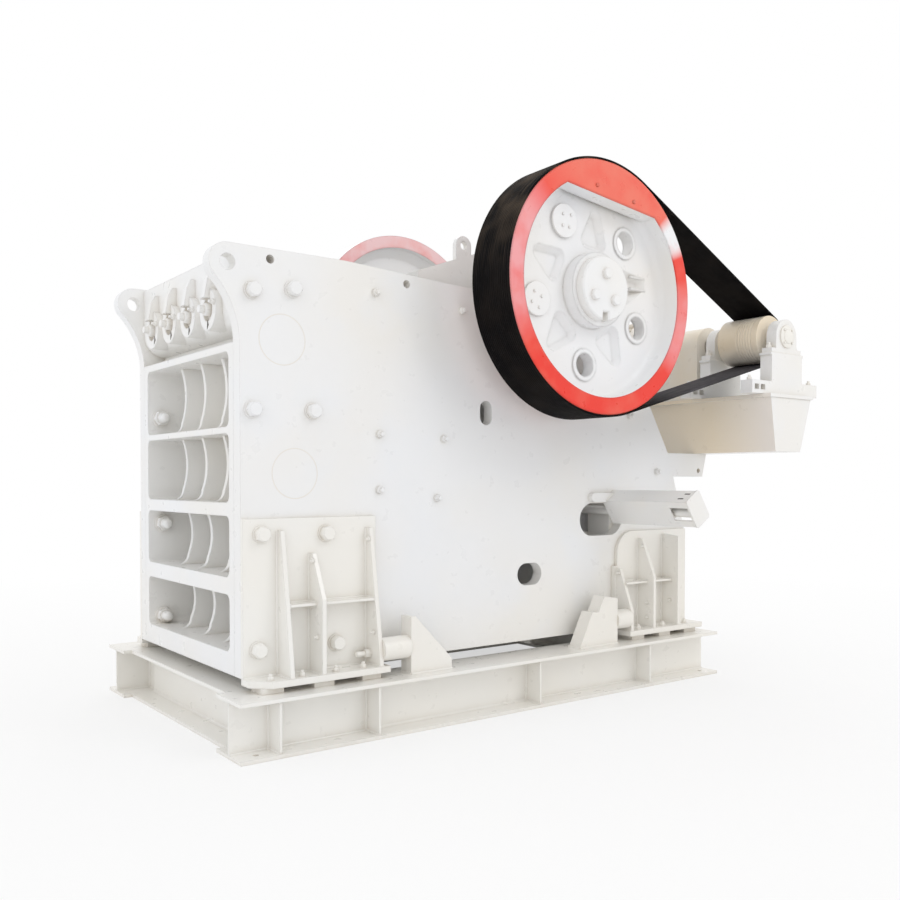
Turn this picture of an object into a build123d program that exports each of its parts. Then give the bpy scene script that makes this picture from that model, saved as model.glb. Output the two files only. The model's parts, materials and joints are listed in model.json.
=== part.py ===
"""A single-toggle jaw crusher on its steel base, with its motor behind it.

Millimetres. +X runs from the fixed jaw to the motor, +Y away from the belt
side, +Z up. The origin is on the underside of the base, at its middle.
Near is the belt side (-Y), far is the plain flywheel side (+Y).
"""
from build123d import *
from math import asin, atan2, cos, degrees, hypot, radians, sin, sqrt
import os

os.makedirs("parts", exist_ok=True)

FIT = 0.3

# Jaws and crushing chamber
JAW_WIDTH = 1200
JAW_HEIGHT = 1700
FEED_OPENING = 760
CLOSED_SETTING = 140
DIE_THICK = 110
DIE_RISE = 338
TOOTH_COUNT = 10
TOOTH_DEPTH = 32
TOOTH_GAP_MOUTH = 0.72
TOOTH_GAP_FLOOR = 0.24
CHEEK_THICK = 36
CHEEK_GAP = 46

# Front frame casting
FRONT_DEPTH_TOP = 355
FRONT_DEPTH_LOW = 600
FRONT_SIDE = 62
FRONT_FOOT = 118
FRONT_WALL = 90
PANEL_HEIGHTS = (300, 322, 365)
PANEL_RIBS = (92, 71, 35)
PANEL_CORNER = 40
PANEL_BACK_BEVEL = 42
SHELF_DROP = 487
SHELF_THICK = 42
FIN_THICK = 34
FIN_SPACING = 305
FIN_COUNT = 3
FIN_SETBACKS = (150, 135, 105, 100)
FIN_SCALLOP = 26
FIN_FOOT = 58
WALL_DROP = 14
RECESS_DEPTH = 130
BOSS_COUNT = 4
BOSS_SPACING = 290
BOSS_RADIUS = 112
BOSS_DROP = 292
BOSS_REACH = 36
BOSS_POCKET = 62
BOSS_POCKET_DEPTH = 24
GUSSET_THICK = 56
GUSSET_REACH = 48
GUSSET_DROP = 84

# Side plates with their lifting ears
PLATE_THICK = 80
PLATE_OVER_DIE = 187
PLATE_TOP_FLAT = 620
PLATE_FOOT_INSET = 13
PLATE_BACK_OUT = 15
PLATE_BACK_RISE = 669
PLATE_KNEE_IN = 152
PLATE_KNEE_RISE = 1194
SHOULDER_BEHIND = 630
SHOULDER_DROP = 70
SHOULDER_BEVEL = 100
SEAT_AHEAD = 662
EAR_AHEAD = 63
EAR_RADIUS = 99
EAR_HOLE = 42
EAR_FOOT_DROP = 507
EAR_WRAP = 220

# Openings in the side plates
SLOT_AHEAD = 527
SLOT_DROP = 746
SLOT_WIDTH = 94
SLOT_HEIGHT = 147
PORT_AHEAD = 169
PORT_RISE = 84
PORT_WIDTH = 204
PORT_HEIGHT = 140
WEDGE_PORT_MARGIN = 40
WEDGE_PORT_HEIGHT = 220
PIN_HOLE = 46
PIN_HOLE_BACK = 172
PIN_HOLE_SPACING = 856
PIN_HOLE_DROP = 55
PIN_HOLE_SLOPE = 23

# Base frame of wide-flange beams
BASE_FRONT_LEDGE = 125
BASE_REAR_LEDGE = 55
BASE_SIDE_LEDGE = 94
BEAM_HEIGHT = 300
BEAM_FLANGE = 300
BEAM_FLANGE_THICK = 20
BEAM_WEB = 14
CROSS_BEAM_INSET = 50
STIFFENER_THICK = 14
STIFFENER_INSET = 15
STIFFENER_STEPS = (95, -120, 78, 110)
ANCHOR_HOLE = 33
ANCHOR_END = 110
ANCHOR_IN = 80
FRAME_GAP = 62

# Brackets, pads and stops on the base
BRACKET_PLATE = 25
BRACKET_REACH = 180
BRACKET_FOOT = 35
BRACKET_CORNER = 90
PAD_THICK = 30
PAD_LENGTH = 120
PAD_COUNT = 3
RIB_THICK = 25
RIB_INSET = 6
RIB_SLIM = 40
FRONT_BRACKET_LENGTH = 798
FRONT_BRACKET_TOP = 884
FRONT_RIB_PLACES = (205, 390, 745)
FRONT_RIB_FULLS = (90, 460, 90)
FRONT_RIB_TOPS = (820, 694, 820)
REAR_BRACKET_LENGTH = 750
REAR_BRACKET_TOP = 731
REAR_BRACKET_STEP = 34
REAR_BRACKET_STEP_TOP = 495
REAR_BRACKET_ROUND = 150
REAR_RIB_PLACES = (27, 249, 502)
REAR_RIB_FULLS = (200, 420, 690)
REAR_RIB_TOPS = (480, 675, 700)
BRACKET_SHELF_RISE = 431
BRACKET_SHELF_THICK = 14
BRACKET_SHELF_REACH = 96
REAR_SHELF_LOWER = 50
BUFFER_RADIUS = 65
BUFFER_RISE = 150
FRONT_BUFFER = 177
REAR_BUFFER = 140
STOP_WIDTH = 100
STOP_PLATE = 30
FRONT_STOP_HEIGHT = 322
FRONT_STOP_FOOT = 283
REAR_STOP_FOOT = 350
REAR_STOP_LEDGE = (234, 226)
REAR_STOP_NOTCH = (179, 221)
REAR_STOP_HEAD = (124, 322)
REAR_STOP_HEIGHT = 300

# Drive line
SHAFT_SETBACK = 807
SHAFT_UNDER_TOP = 45
SHAFT_RADIUS = 130
ECCENTRIC_RADIUS = 175
ECCENTRIC_THROW = 16
HOUSING_RADIUS = 330
HOUSING_WIDTH = 205
HOUSING_FOOT_REACH = 140
HOUSING_FOOT_HEIGHT = 80
HOUSING_CAP_RADIUS = 240
HOUSING_CAP_THICK = 22
WHEEL_RADIUS = 764
WHEEL_RING_INNER = 659
WHEEL_RING_BACK = 672
WHEEL_WIDTH = 325
WHEEL_GAP = 175
WHEEL_BEVEL = 7
WHEEL_WEB = 75
WHEEL_WEB_RECESS = 142
WHEEL_FILLET = 52
WHEEL_FILLET_FLATS = 4
WHEEL_BACK_BEVEL = 60
WHEEL_HUB_RADIUS = 230
WHEEL_COLLAR_RADIUS = 226
WHEEL_COLLAR_RECESS = 57
LOBE_COUNT = 5
LOBE_ANGLE = 48
LOBE_RADIUS = 455
LOBE_HOLE = 72
LOBE_LIP = 100
LOBE_LIP_THICK = 10
LOBE_COVER_THICK = 12
VALLEY_DEPTH = 40
VALLEY_INNER = 262
VALLEY_OUTER = 590
VALLEY_HALF = 130
VALLEY_FILLET = 50
VALLEY_SLOPE = 40
WEIGHT_CHORD = 538
WEIGHT_ANGLE = 83.5
WEIGHT_THICK = 117
HUB_COVER_RADIUS = 195
HUB_COVER_BEVEL = 8
KEY_WIDTH = 44
KEY_DEPTH = 52

# Pitman
PITMAN_SIDE_GAP = 10
PITMAN_BARREL = 428
PITMAN_NOSE_RISE = 248
PITMAN_TOE = 60
PITMAN_HEEL_ANGLE = 325
PITMAN_DIE_STEP = 5
PITMAN_BAYS = 3
PITMAN_BAY_WIDTH = 300
PITMAN_BAY_HEIGHT = 620
PITMAN_BAY_WALL = 130
LUG_THICK = 36
LUG_RADIUS = 58
LUG_HOLE = 26
LUG_ALONG = 310
LUG_RISE = 92

# Toggle plate and wedges
TOGGLE_SEAT_AHEAD = 642
TOGGLE_SEAT_RISE = 250
TOGGLE_SEAT_HALF = 120
TOGGLE_SPAN = 960
TOGGLE_THICK = 90
TOGGLE_SHORTER = 110
TOGGLE_PLAY = 24
WEDGE_RISE = 418
WEDGE_PACK = 320
WEDGE_HEIGHT = 200
WEDGE_THIN = 100
WEDGE_LEDGE = 50

# Rear frame casting
REAR_DEPTH = 690
REAR_WALL = 120
REAR_SILL = 70
REAR_TOP_RISE = 1403
REAR_TOP_WALL = 110
REAR_WALL_RISE = 1038
REAR_BAYS = 3
REAR_WEB = 60
REAR_BAY_LOW = 545
REAR_BAY_HIGH = 400
REAR_BAY_CORNER = 45

# Wedge cylinders and their covers
COVER_BEHIND = 117
COVER_RISE = 84
COVER_REACH = 713
COVER_WIDE = 128
COVER_TALL = 190
COVER_TILT = 34
COVER_PLATE = 8
COVER_END_CORNER = 13
COVER_WINDOW = 140
COVER_WINDOW_TALL = 96
COVER_WINDOW_INSET = 14
CYLINDER_START = 180
COVER_LUG_LENGTH = 230
COVER_LUG_WIDE = 62
COVER_LUG_THICK = 40
CYLINDER_DROP = 24
CYLINDER_RADIUS = 38
ROD_RADIUS = 30

# Motor and its base
MOTOR_BEHIND = 1660
MOTOR_BELOW = 157
MOTOR_HEIGHT = 410
MOTOR_RADIUS = 250
MOTOR_FIN_HEIGHT = 22
MOTOR_FIN_THICK = 9
MOTOR_FIN_COUNT = 24
MOTOR_NEAR_Y = -230
MOTOR_FAR_Y = 800
MOTOR_SHIELD = 110
MOTOR_SHIELD_RADIUS = 262
MOTOR_FOOT_WIDTH = 420
MOTOR_FOOT_LENGTH = 640
MOTOR_FOOT_THICK = 40
MOTOR_BOX = 220
MOTOR_BOX_REACH = 366
MOTOR_SHAFT_RADIUS = 45
MOTOR_SHAFT_ENTRY = 50
MOTOR_SHAFT_ROOM = 10
TROUGH_TOP_WIDTH = 470
TROUGH_TOP_AHEAD = 259
TROUGH_LEAN_FRONT = 56
TROUGH_LEAN_REAR = 125
TROUGH_DEPTH = 395
TROUGH_NEAR_Y = -1450
TROUGH_FAR_Y = 920
TROUGH_PLATE = 25
TROUGH_PLATE_EDGE = 18
ARM_LUG_DROP = 170
ARM_LUG_REACH = 140
ARM_LUG_SLOPE = 45
ARM_LUG_HOLE = 17
ARM_GUSSET_Y = 320
ARM_GUSSET_THICK = 40

# Pulley, bearings, coupling and guard
PULLEY_RADIUS = 165
BELT_THICK = 12
BELT_WIDTH = 320
GROOVE_COUNT = 6
GROOVE_PITCH = 22
GROOVE_DEPTH = 5
GROOVE_START = 150
STAND_WIDTH = 92
STAND_HALF = 178
STAND_TOP_THICK = 16
STAND_TOP_EDGE = 12
OUTER_STAND_Y = 1354
INNER_STAND_Y = 840
RAIL_HEIGHT = 90
RAIL_AHEAD = 400
RAIL_BEHIND = 364
RAIL_SLOT = 50
RAIL_SLOT_HEIGHT = 36
RAIL_SLOT_PITCH = 68
RAIL_SLOT_START = 54
BLOCK_RADIUS = 120
BLOCK_FOOT_HALF = 172
BLOCK_FOOT_HEIGHT = 34
BLOCK_WIDTH = 78
COUPLING_RADIUS = 130
COUPLING_HALF = 90
COUPLING_YS = (-330, -430)
GUARD_RADIUS = 146
GUARD_SHEET = 6
GUARD_NEAR = 740
GUARD_FAR = 250
GUARD_SHAFT_GAP = 15

# Heights
frame_bottom = BEAM_HEIGHT + FRAME_GAP
die_low = frame_bottom + DIE_RISE
die_top = die_low + JAW_HEIGHT
plate_top = die_top + PLATE_OVER_DIE
shaft_z = plate_top - SHAFT_UNDER_TOP
pin_z = shaft_z - ECCENTRIC_THROW
motor_z = shaft_z - MOTOR_BELOW
trough_top = motor_z - MOTOR_HEIGHT
toggle_seat_z = die_low + TOGGLE_SEAT_RISE
wedge_z = die_low + WEDGE_RISE

# Widths, from the chamber outwards
pitman_half = JAW_WIDTH / 2 - PITMAN_SIDE_GAP
toggle_half = pitman_half - TOGGLE_SHORTER
plate_inner = JAW_WIDTH / 2 + CHEEK_GAP + CHEEK_THICK
plate_outer = plate_inner + PLATE_THICK
base_side = plate_outer + BRACKET_REACH + BASE_SIDE_LEDGE
beam_y = base_side - BEAM_FLANGE / 2
wheel_inner_y = plate_outer + WHEEL_GAP
wheel_face_y = wheel_inner_y + WHEEL_WIDTH
collar_y = wheel_face_y - WHEEL_COLLAR_RECESS
web_face_y = wheel_face_y - WHEEL_WEB_RECESS

# Lengths, measured back from the front face of the frame
shaft_back = FRONT_DEPTH_TOP + DIE_THICK + FEED_OPENING + DIE_THICK + SHAFT_SETBACK
toggle_back = shaft_back - TOGGLE_SEAT_AHEAD
load_wall_back = toggle_back + TOGGLE_SPAN + WEDGE_PACK
frame_length = load_wall_back + REAR_DEPTH
base_length = BASE_FRONT_LEDGE + frame_length + BASE_REAR_LEDGE
base_end = base_length / 2
frame_front = BASE_FRONT_LEDGE - base_end
frame_rear = frame_front + frame_length
shaft_x = frame_front + shaft_back
toggle_seat_x = frame_front + toggle_back
wedge_front = toggle_seat_x + TOGGLE_SPAN
load_wall_x = frame_front + load_wall_back
motor_x = shaft_x + MOTOR_BEHIND
trough_front = motor_x - TROUGH_TOP_AHEAD
trough_rear = trough_front + TROUGH_TOP_WIDTH
trough_bottom = trough_top - TROUGH_DEPTH

front_bracket_end = frame_front + FRONT_BRACKET_LENGTH
rear_bracket_start = frame_rear - REAR_BRACKET_LENGTH
foot_z = BEAM_HEIGHT + PAD_THICK
foot_top = foot_z + BRACKET_FOOT

# Corners of the side plates' rear edge
plate_back = (frame_rear + PLATE_BACK_OUT, frame_bottom + PLATE_BACK_RISE)
plate_knee = (frame_rear - PLATE_KNEE_IN, frame_bottom + PLATE_KNEE_RISE)
plate_shoulder = (shaft_x + SHOULDER_BEHIND, shaft_z - SHOULDER_DROP)


def front_back(z):
    """Where the inclined back face of the front frame stands at height z."""
    share = (z - frame_bottom) / (die_top - frame_bottom)
    return frame_front + FRONT_DEPTH_LOW + share * (FRONT_DEPTH_TOP - FRONT_DEPTH_LOW)


def rear_edge(z):
    """Where the side plates' rear edge stands at height z."""
    low, high = (plate_knee, plate_shoulder) if z > plate_knee[1] else (plate_back, plate_knee)
    share = (z - low[1]) / (high[1] - low[1])
    return low[0] + share * (high[0] - low[0])


fixed_face_top = front_back(die_top) + DIE_THICK
fixed_face_low = front_back(die_low) + DIE_THICK
pitman_face_top = fixed_face_top + FEED_OPENING + DIE_THICK
pitman_face_low = fixed_face_low + CLOSED_SETTING + DIE_THICK


def pitman_face(z):
    """Where the pitman's inclined front face stands at height z."""
    return pitman_face_low + (z - die_low) / JAW_HEIGHT * (pitman_face_top - pitman_face_low)


def beam_outline(middle):
    """The section of a wide-flange beam, standing on the floor."""
    with Locations((middle, BEAM_HEIGHT / 2)):
        Rectangle(BEAM_FLANGE, BEAM_HEIGHT)
    pocket = (BEAM_FLANGE - BEAM_WEB) / 2
    with Locations((middle - BEAM_FLANGE / 2, BEAM_HEIGHT / 2),
                   (middle + BEAM_FLANGE / 2, BEAM_HEIGHT / 2)):
        Rectangle(2 * pocket, BEAM_HEIGHT - 2 * BEAM_FLANGE_THICK, mode=Mode.SUBTRACT)


# Long base beams, with stiffeners between the flanges and anchor holes at the ends
bay_middle = (front_bracket_end + rear_bracket_start) / 2
stiffener_starts = (frame_front, front_bracket_end, bay_middle, rear_bracket_start)
stiffener_xs = [start + step for start, step in zip(stiffener_starts, STIFFENER_STEPS)]
with BuildPart() as base_beam_near:
    with BuildSketch(Plane.YZ.offset(-base_end)):
        beam_outline(-beam_y)
    extrude(amount=base_length)
    clear = BEAM_HEIGHT - 2 * BEAM_FLANGE_THICK
    with Locations(*[(x, -beam_y, BEAM_HEIGHT / 2) for x in stiffener_xs]):
        Box(STIFFENER_THICK, BEAM_FLANGE - 2 * STIFFENER_INSET, clear)
    anchor_x = base_end - ANCHOR_END
    with Locations(*[(side * anchor_x, -beam_y - ANCHOR_IN, BEAM_FLANGE_THICK) for side in (-1, 1)]):
        Hole(ANCHOR_HOLE / 2, depth=BEAM_FLANGE_THICK)
base_beam_near.part.label = "base_beam_near"
export_step(base_beam_near.part, "parts/base_beam_near.step")

with BuildPart() as base_beam_far:
    mirror(base_beam_near.part, about=Plane.XZ)
base_beam_far.part.label = "base_beam_far"
export_step(base_beam_far.part, "parts/base_beam_far.step")

# Cross beams between the long ones
cross_x = base_end - CROSS_BEAM_INSET - BEAM_FLANGE / 2
cross_half = base_side - BEAM_FLANGE
for name, middle in (("front", -cross_x), ("rear", cross_x)):
    with BuildPart() as cross_beam:
        with BuildSketch(Plane.XZ.offset(-cross_half)):
            beam_outline(middle)
        extrude(amount=2 * cross_half)
    cross_beam.part.label = f"base_beam_{name}"
    export_step(cross_beam.part, f"parts/base_beam_{name}.step")

# Side plate with its lifting ear, bearing seat and openings
ear_x = frame_front - EAR_AHEAD
ear_z = plate_top - EAR_RADIUS
ear_low = (ear_x + EAR_RADIUS * cos(radians(EAR_WRAP)), ear_z + EAR_RADIUS * sin(radians(EAR_WRAP)))
ear_foot = (frame_front, plate_top - EAR_FOOT_DROP)
port_x = wedge_front + WEDGE_PACK / 2
with BuildPart() as side_plate_near:
    with BuildSketch(Plane.XZ.offset(plate_inner)):
        with BuildLine():
            Polyline(
                ear_foot,
                (frame_front, frame_bottom),
                (frame_rear - PLATE_FOOT_INSET, frame_bottom),
                plate_back,
                plate_knee,
                plate_shoulder,
                (plate_shoulder[0] - SHOULDER_BEVEL, shaft_z),
                (shaft_x - SEAT_AHEAD, shaft_z),
                (frame_front + PLATE_TOP_FLAT, plate_top),
                (ear_x, plate_top),
            )
            ThreePointArc((ear_x, plate_top), (ear_x - EAR_RADIUS, ear_z), ear_low)
            TangentArc(ear_foot, ear_low, tangent=(0, 1))
        make_face()
        with Locations((ear_x, ear_z)):
            Circle(EAR_HOLE, mode=Mode.SUBTRACT)
        with Locations((shaft_x, shaft_z)):
            Circle(HOUSING_RADIUS + FIT, mode=Mode.SUBTRACT)
        with Locations((shaft_x - SLOT_AHEAD, shaft_z - SLOT_DROP)):
            SlotOverall(SLOT_HEIGHT, SLOT_WIDTH, rotation=90, mode=Mode.SUBTRACT)
        with Locations((shaft_x - PORT_AHEAD, die_low + PORT_RISE)):
            SlotOverall(PORT_WIDTH, PORT_HEIGHT, mode=Mode.SUBTRACT)
        with Locations((port_x, wedge_z)):
            SlotOverall(WEDGE_PACK + 2 * WEDGE_PORT_MARGIN, WEDGE_PORT_HEIGHT, mode=Mode.SUBTRACT)
        with Locations((frame_front + PIN_HOLE_BACK, plate_top - PIN_HOLE_DROP),
                       (frame_front + PIN_HOLE_BACK + PIN_HOLE_SPACING, plate_top - PIN_HOLE_DROP - PIN_HOLE_SLOPE)):
            Circle(PIN_HOLE / 2, mode=Mode.SUBTRACT)
    extrude(amount=PLATE_THICK)
side_plate_near.part.label = "side_plate_near"
export_step(side_plate_near.part, "parts/side_plate_near.step")

with BuildPart() as side_plate_far:
    mirror(side_plate_near.part, about=Plane.XZ)
side_plate_far.part.label = "side_plate_far"
export_step(side_plate_far.part, "parts/side_plate_far.step")

# Front frame casting: panels between ribs with scalloped fins in them, and
# above the shelf a recess with round bosses for the jaw bolts
shelf_z = plate_top - SHELF_DROP
wall_top = plate_top - WALL_DROP
boss_z = plate_top - BOSS_DROP
panels = []
panel_foot = frame_bottom + FRONT_FOOT
for height, rib in zip(PANEL_HEIGHTS, PANEL_RIBS):
    panels.append((panel_foot, panel_foot + height))
    panel_foot += height + rib
panels.append((panel_foot, shelf_z - SHELF_THICK))

with BuildPart() as front_frame:
    recess_x = frame_front + RECESS_DEPTH
    with BuildSketch(Plane.XZ.offset(-plate_inner)):
        with BuildLine():
            Polyline(
                (frame_front, boss_z),
                (frame_front, wall_top),
                (front_back(wall_top), wall_top),
                (front_back(frame_bottom), frame_bottom),
                (frame_front, frame_bottom),
                (frame_front, shelf_z),
                (recess_x, shelf_z),
                (recess_x, boss_z - RECESS_DEPTH),
            )
            RadiusArc((recess_x, boss_z - RECESS_DEPTH), (frame_front, boss_z), RECESS_DEPTH)
        make_face()
    extrude(amount=2 * plate_inner)
    for foot, top in panels:
        wall_x = front_back(top) - FRONT_WALL
        with BuildSketch(Plane.YZ.offset(frame_front)):
            with Locations((0, (foot + top) / 2)):
                RectangleRounded(2 * (plate_inner - FRONT_SIDE), top - foot, PANEL_CORNER)
        extrude(amount=wall_x - frame_front, mode=Mode.SUBTRACT)
    fin_reach = FIN_SPACING * (FIN_COUNT - 1) / 2 + FIN_THICK
    for (foot, top), setback in zip(panels, FIN_SETBACKS):
        wall_x = front_back(top) - FRONT_WALL
        edge_x = frame_front + setback
        for y in [FIN_SPACING * (index - (FIN_COUNT - 1) / 2) for index in range(FIN_COUNT)]:
            with BuildSketch(Plane.XZ.offset(-y - FIN_THICK / 2)):
                with BuildLine():
                    ThreePointArc((edge_x, foot + FIN_FOOT),
                                  (edge_x + FIN_SCALLOP, (foot + FIN_FOOT + top) / 2),
                                  (edge_x, top))
                    Polyline((edge_x, top), (wall_x, top), (wall_x, foot),
                             (edge_x - FIN_FOOT, foot))
                    RadiusArc((edge_x - FIN_FOOT, foot), (edge_x, foot + FIN_FOOT), -FIN_FOOT)
                make_face()
            extrude(amount=FIN_THICK)
        fin_roots = front_frame.edges().filter_by(Axis.Z).filter_by_position(
            Axis.X, wall_x - 1, wall_x + 1).filter_by_position(
            Axis.Z, foot, top).filter_by_position(Axis.Y, -fin_reach, fin_reach)
        chamfer(fin_roots, PANEL_BACK_BEVEL)
    boss_ys = [BOSS_SPACING * (index - (BOSS_COUNT - 1) / 2) for index in range(BOSS_COUNT)]
    with BuildSketch(Plane.YZ.offset(frame_front - BOSS_REACH)):
        with Locations(*[(y, boss_z) for y in boss_ys]):
            Circle(BOSS_RADIUS)
    extrude(amount=RECESS_DEPTH + BOSS_REACH)
    for y in boss_ys:
        with BuildSketch(Plane.XZ.offset(-y - GUSSET_THICK / 2)):
            with BuildLine():
                gusset_top = plate_top - GUSSET_DROP
                Polyline((frame_front, gusset_top),
                         (frame_front - GUSSET_REACH / 2, gusset_top),
                         (frame_front - GUSSET_REACH, gusset_top - GUSSET_REACH),
                         (frame_front - GUSSET_REACH - BOSS_REACH / 2, boss_z + BOSS_RADIUS / 2),
                         (frame_front, boss_z + BOSS_RADIUS / 2),
                         (frame_front, gusset_top))
            make_face()
        extrude(amount=GUSSET_THICK)
    with BuildSketch(Plane.YZ.offset(frame_front - 2 * BOSS_REACH)):
        with Locations(*[(y, boss_z) for y in boss_ys]):
            Circle(BOSS_POCKET)
    extrude(amount=BOSS_REACH + BOSS_POCKET_DEPTH, mode=Mode.SUBTRACT)
front_frame.part.label = "front_frame"
export_step(front_frame.part, "parts/front_frame.step")

# Rear frame casting: the wall that takes the jaw's load, open bays behind it,
# and a ledge under the wedges
rear_top_z = frame_bottom + REAR_TOP_RISE
with BuildPart() as rear_frame:
    with BuildSketch(Plane.XZ.offset(-plate_inner)):
        with BuildLine():
            wall_bend = (load_wall_x, frame_bottom + REAR_WALL_RISE)
            Polyline(
                (load_wall_x, frame_bottom),
                (frame_rear - PLATE_FOOT_INSET, frame_bottom),
                plate_back,
                plate_knee,
                (rear_edge(rear_top_z), rear_top_z),
                (rear_edge(rear_top_z) - REAR_TOP_WALL, rear_top_z),
                wall_bend,
                (load_wall_x, frame_bottom),
            )
        make_face()
    extrude(amount=2 * plate_inner)
    bay_width = (2 * plate_inner - (REAR_BAYS + 1) * REAR_WEB) / REAR_BAYS
    low_middle = frame_bottom + REAR_SILL + REAR_BAY_LOW / 2
    high_middle = low_middle + (REAR_BAY_LOW + REAR_BAY_HIGH) / 2 + REAR_SILL
    for middle, height in ((low_middle, REAR_BAY_LOW), (high_middle, REAR_BAY_HIGH)):
        with BuildSketch(Plane.YZ.offset(load_wall_x + REAR_WALL)):
            with Locations((0, middle)):
                with GridLocations(bay_width + REAR_WEB, 0, REAR_BAYS, 1):
                    RectangleRounded(bay_width, height, REAR_BAY_CORNER)
        extrude(amount=REAR_DEPTH, mode=Mode.SUBTRACT)
    ledge_z = wedge_z - WEDGE_HEIGHT / 2 - WEDGE_LEDGE / 2
    with Locations((load_wall_x - WEDGE_PACK / 2, 0, ledge_z)):
        Box(WEDGE_PACK, 2 * toggle_half, WEDGE_LEDGE)
rear_frame.part.label = "rear_frame"
export_step(rear_frame.part, "parts/rear_frame.step")


def rib_outline(full_top, slim_top):
    """A bracket rib, of full reach up to full_top and tapering to slim_top."""
    back = -plate_outer - BRACKET_PLATE
    front = RIB_INSET - plate_outer - BRACKET_REACH
    Polyline((back, foot_top), (front, foot_top), (front, full_top),
             (back - RIB_SLIM, slim_top), (back, slim_top), (back, foot_top))


# Front brackets, which carry the frame on the base
with BuildPart() as front_bracket_near:
    top = BEAM_HEIGHT + FRONT_BRACKET_TOP
    middle = frame_front + FRONT_BRACKET_LENGTH / 2
    with Locations((middle, -plate_outer - BRACKET_PLATE / 2, (foot_z + top) / 2)):
        Box(FRONT_BRACKET_LENGTH, BRACKET_PLATE, top - foot_z)
    with BuildSketch(Plane.XY.offset(foot_z)):
        with BuildLine():
            Polyline(
                (frame_front, -plate_outer),
                (frame_front, BRACKET_CORNER - plate_outer - BRACKET_REACH),
                (frame_front + BRACKET_CORNER, -plate_outer - BRACKET_REACH),
                (front_bracket_end, -plate_outer - BRACKET_REACH),
                (front_bracket_end, -plate_outer),
                (frame_front, -plate_outer),
            )
        make_face()
    extrude(amount=BRACKET_FOOT)
    for place, full, slim in zip(FRONT_RIB_PLACES, FRONT_RIB_FULLS, FRONT_RIB_TOPS):
        with BuildSketch(Plane.YZ.offset(frame_front + place - RIB_THICK / 2)):
            with BuildLine():
                rib_outline(BEAM_HEIGHT + full, BEAM_HEIGHT + slim)
            make_face()
        extrude(amount=RIB_THICK)
    shelf_length = FRONT_RIB_PLACES[-1] - FRONT_RIB_PLACES[0]
    with Locations((frame_front + FRONT_RIB_PLACES[0] + shelf_length / 2,
                    -plate_outer - BRACKET_PLATE - BRACKET_SHELF_REACH / 2,
                    BEAM_HEIGHT + BRACKET_SHELF_RISE)):
        Box(shelf_length, BRACKET_SHELF_REACH, BRACKET_SHELF_THICK)
front_bracket_near.part.label = "front_bracket_near"
export_step(front_bracket_near.part, "parts/front_bracket_near.step")

with BuildPart() as front_bracket_far:
    mirror(front_bracket_near.part, about=Plane.XZ)
front_bracket_far.part.label = "front_bracket_far"
export_step(front_bracket_far.part, "parts/front_bracket_far.step")

# Rear brackets, with a step in the plate beside the stop
with BuildPart() as rear_bracket_near:
    with BuildSketch(Plane.XZ.offset(plate_outer)):
        top = BEAM_HEIGHT + REAR_BRACKET_TOP
        step_top = BEAM_HEIGHT + REAR_BRACKET_STEP_TOP
        step_x = rear_bracket_start + REAR_BRACKET_STEP
        with BuildLine():
            Polyline((step_x, top - REAR_BRACKET_ROUND), (step_x, step_top),
                     (rear_bracket_start, step_top), (rear_bracket_start, foot_z),
                     (frame_rear, foot_z), (frame_rear, top), (step_x + REAR_BRACKET_ROUND, top))
            RadiusArc((step_x + REAR_BRACKET_ROUND, top), (step_x, top - REAR_BRACKET_ROUND),
                      -REAR_BRACKET_ROUND)
        make_face()
    extrude(amount=BRACKET_PLATE)
    with Locations((frame_rear - REAR_BRACKET_LENGTH / 2, -plate_outer - BRACKET_REACH / 2,
                    foot_z + BRACKET_FOOT / 2)):
        Box(REAR_BRACKET_LENGTH, BRACKET_REACH, BRACKET_FOOT)
    for place, full, slim in zip(REAR_RIB_PLACES, REAR_RIB_FULLS, REAR_RIB_TOPS):
        with BuildSketch(Plane.YZ.offset(rear_bracket_start + place - RIB_THICK / 2)):
            with BuildLine():
                rib_outline(BEAM_HEIGHT + full, BEAM_HEIGHT + slim)
            make_face()
        extrude(amount=RIB_THICK)
    shelf_length = REAR_RIB_PLACES[-1] - REAR_RIB_PLACES[0]
    with Locations((rear_bracket_start + REAR_RIB_PLACES[0] + shelf_length / 2,
                    -plate_outer - BRACKET_PLATE - BRACKET_SHELF_REACH / 2,
                    BEAM_HEIGHT + BRACKET_SHELF_RISE - REAR_SHELF_LOWER)):
        Box(shelf_length, BRACKET_SHELF_REACH, BRACKET_SHELF_THICK)
rear_bracket_near.part.label = "rear_bracket_near"
export_step(rear_bracket_near.part, "parts/rear_bracket_near.step")

with BuildPart() as rear_bracket_far:
    mirror(rear_bracket_near.part, about=Plane.XZ)
rear_bracket_far.part.label = "rear_bracket_far"
export_step(rear_bracket_far.part, "parts/rear_bracket_far.step")

# Pads between the brackets' feet and the base
with BuildPart() as mount_pads:
    for start, length in ((frame_front, FRONT_BRACKET_LENGTH), (rear_bracket_start, REAR_BRACKET_LENGTH)):
        for side in (-1, 1):
            with Locations((start + length / 2, side * (plate_outer + BRACKET_REACH / 2),
                            BEAM_HEIGHT + PAD_THICK / 2)):
                with GridLocations((length - PAD_LENGTH - BRACKET_CORNER) / (PAD_COUNT - 1), 0, PAD_COUNT, 1):
                    Box(PAD_LENGTH, BRACKET_REACH - 2 * RIB_THICK, PAD_THICK)
mount_pads.part.label = "mount_pads"
export_step(mount_pads.part, "parts/mount_pads.step")

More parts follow.
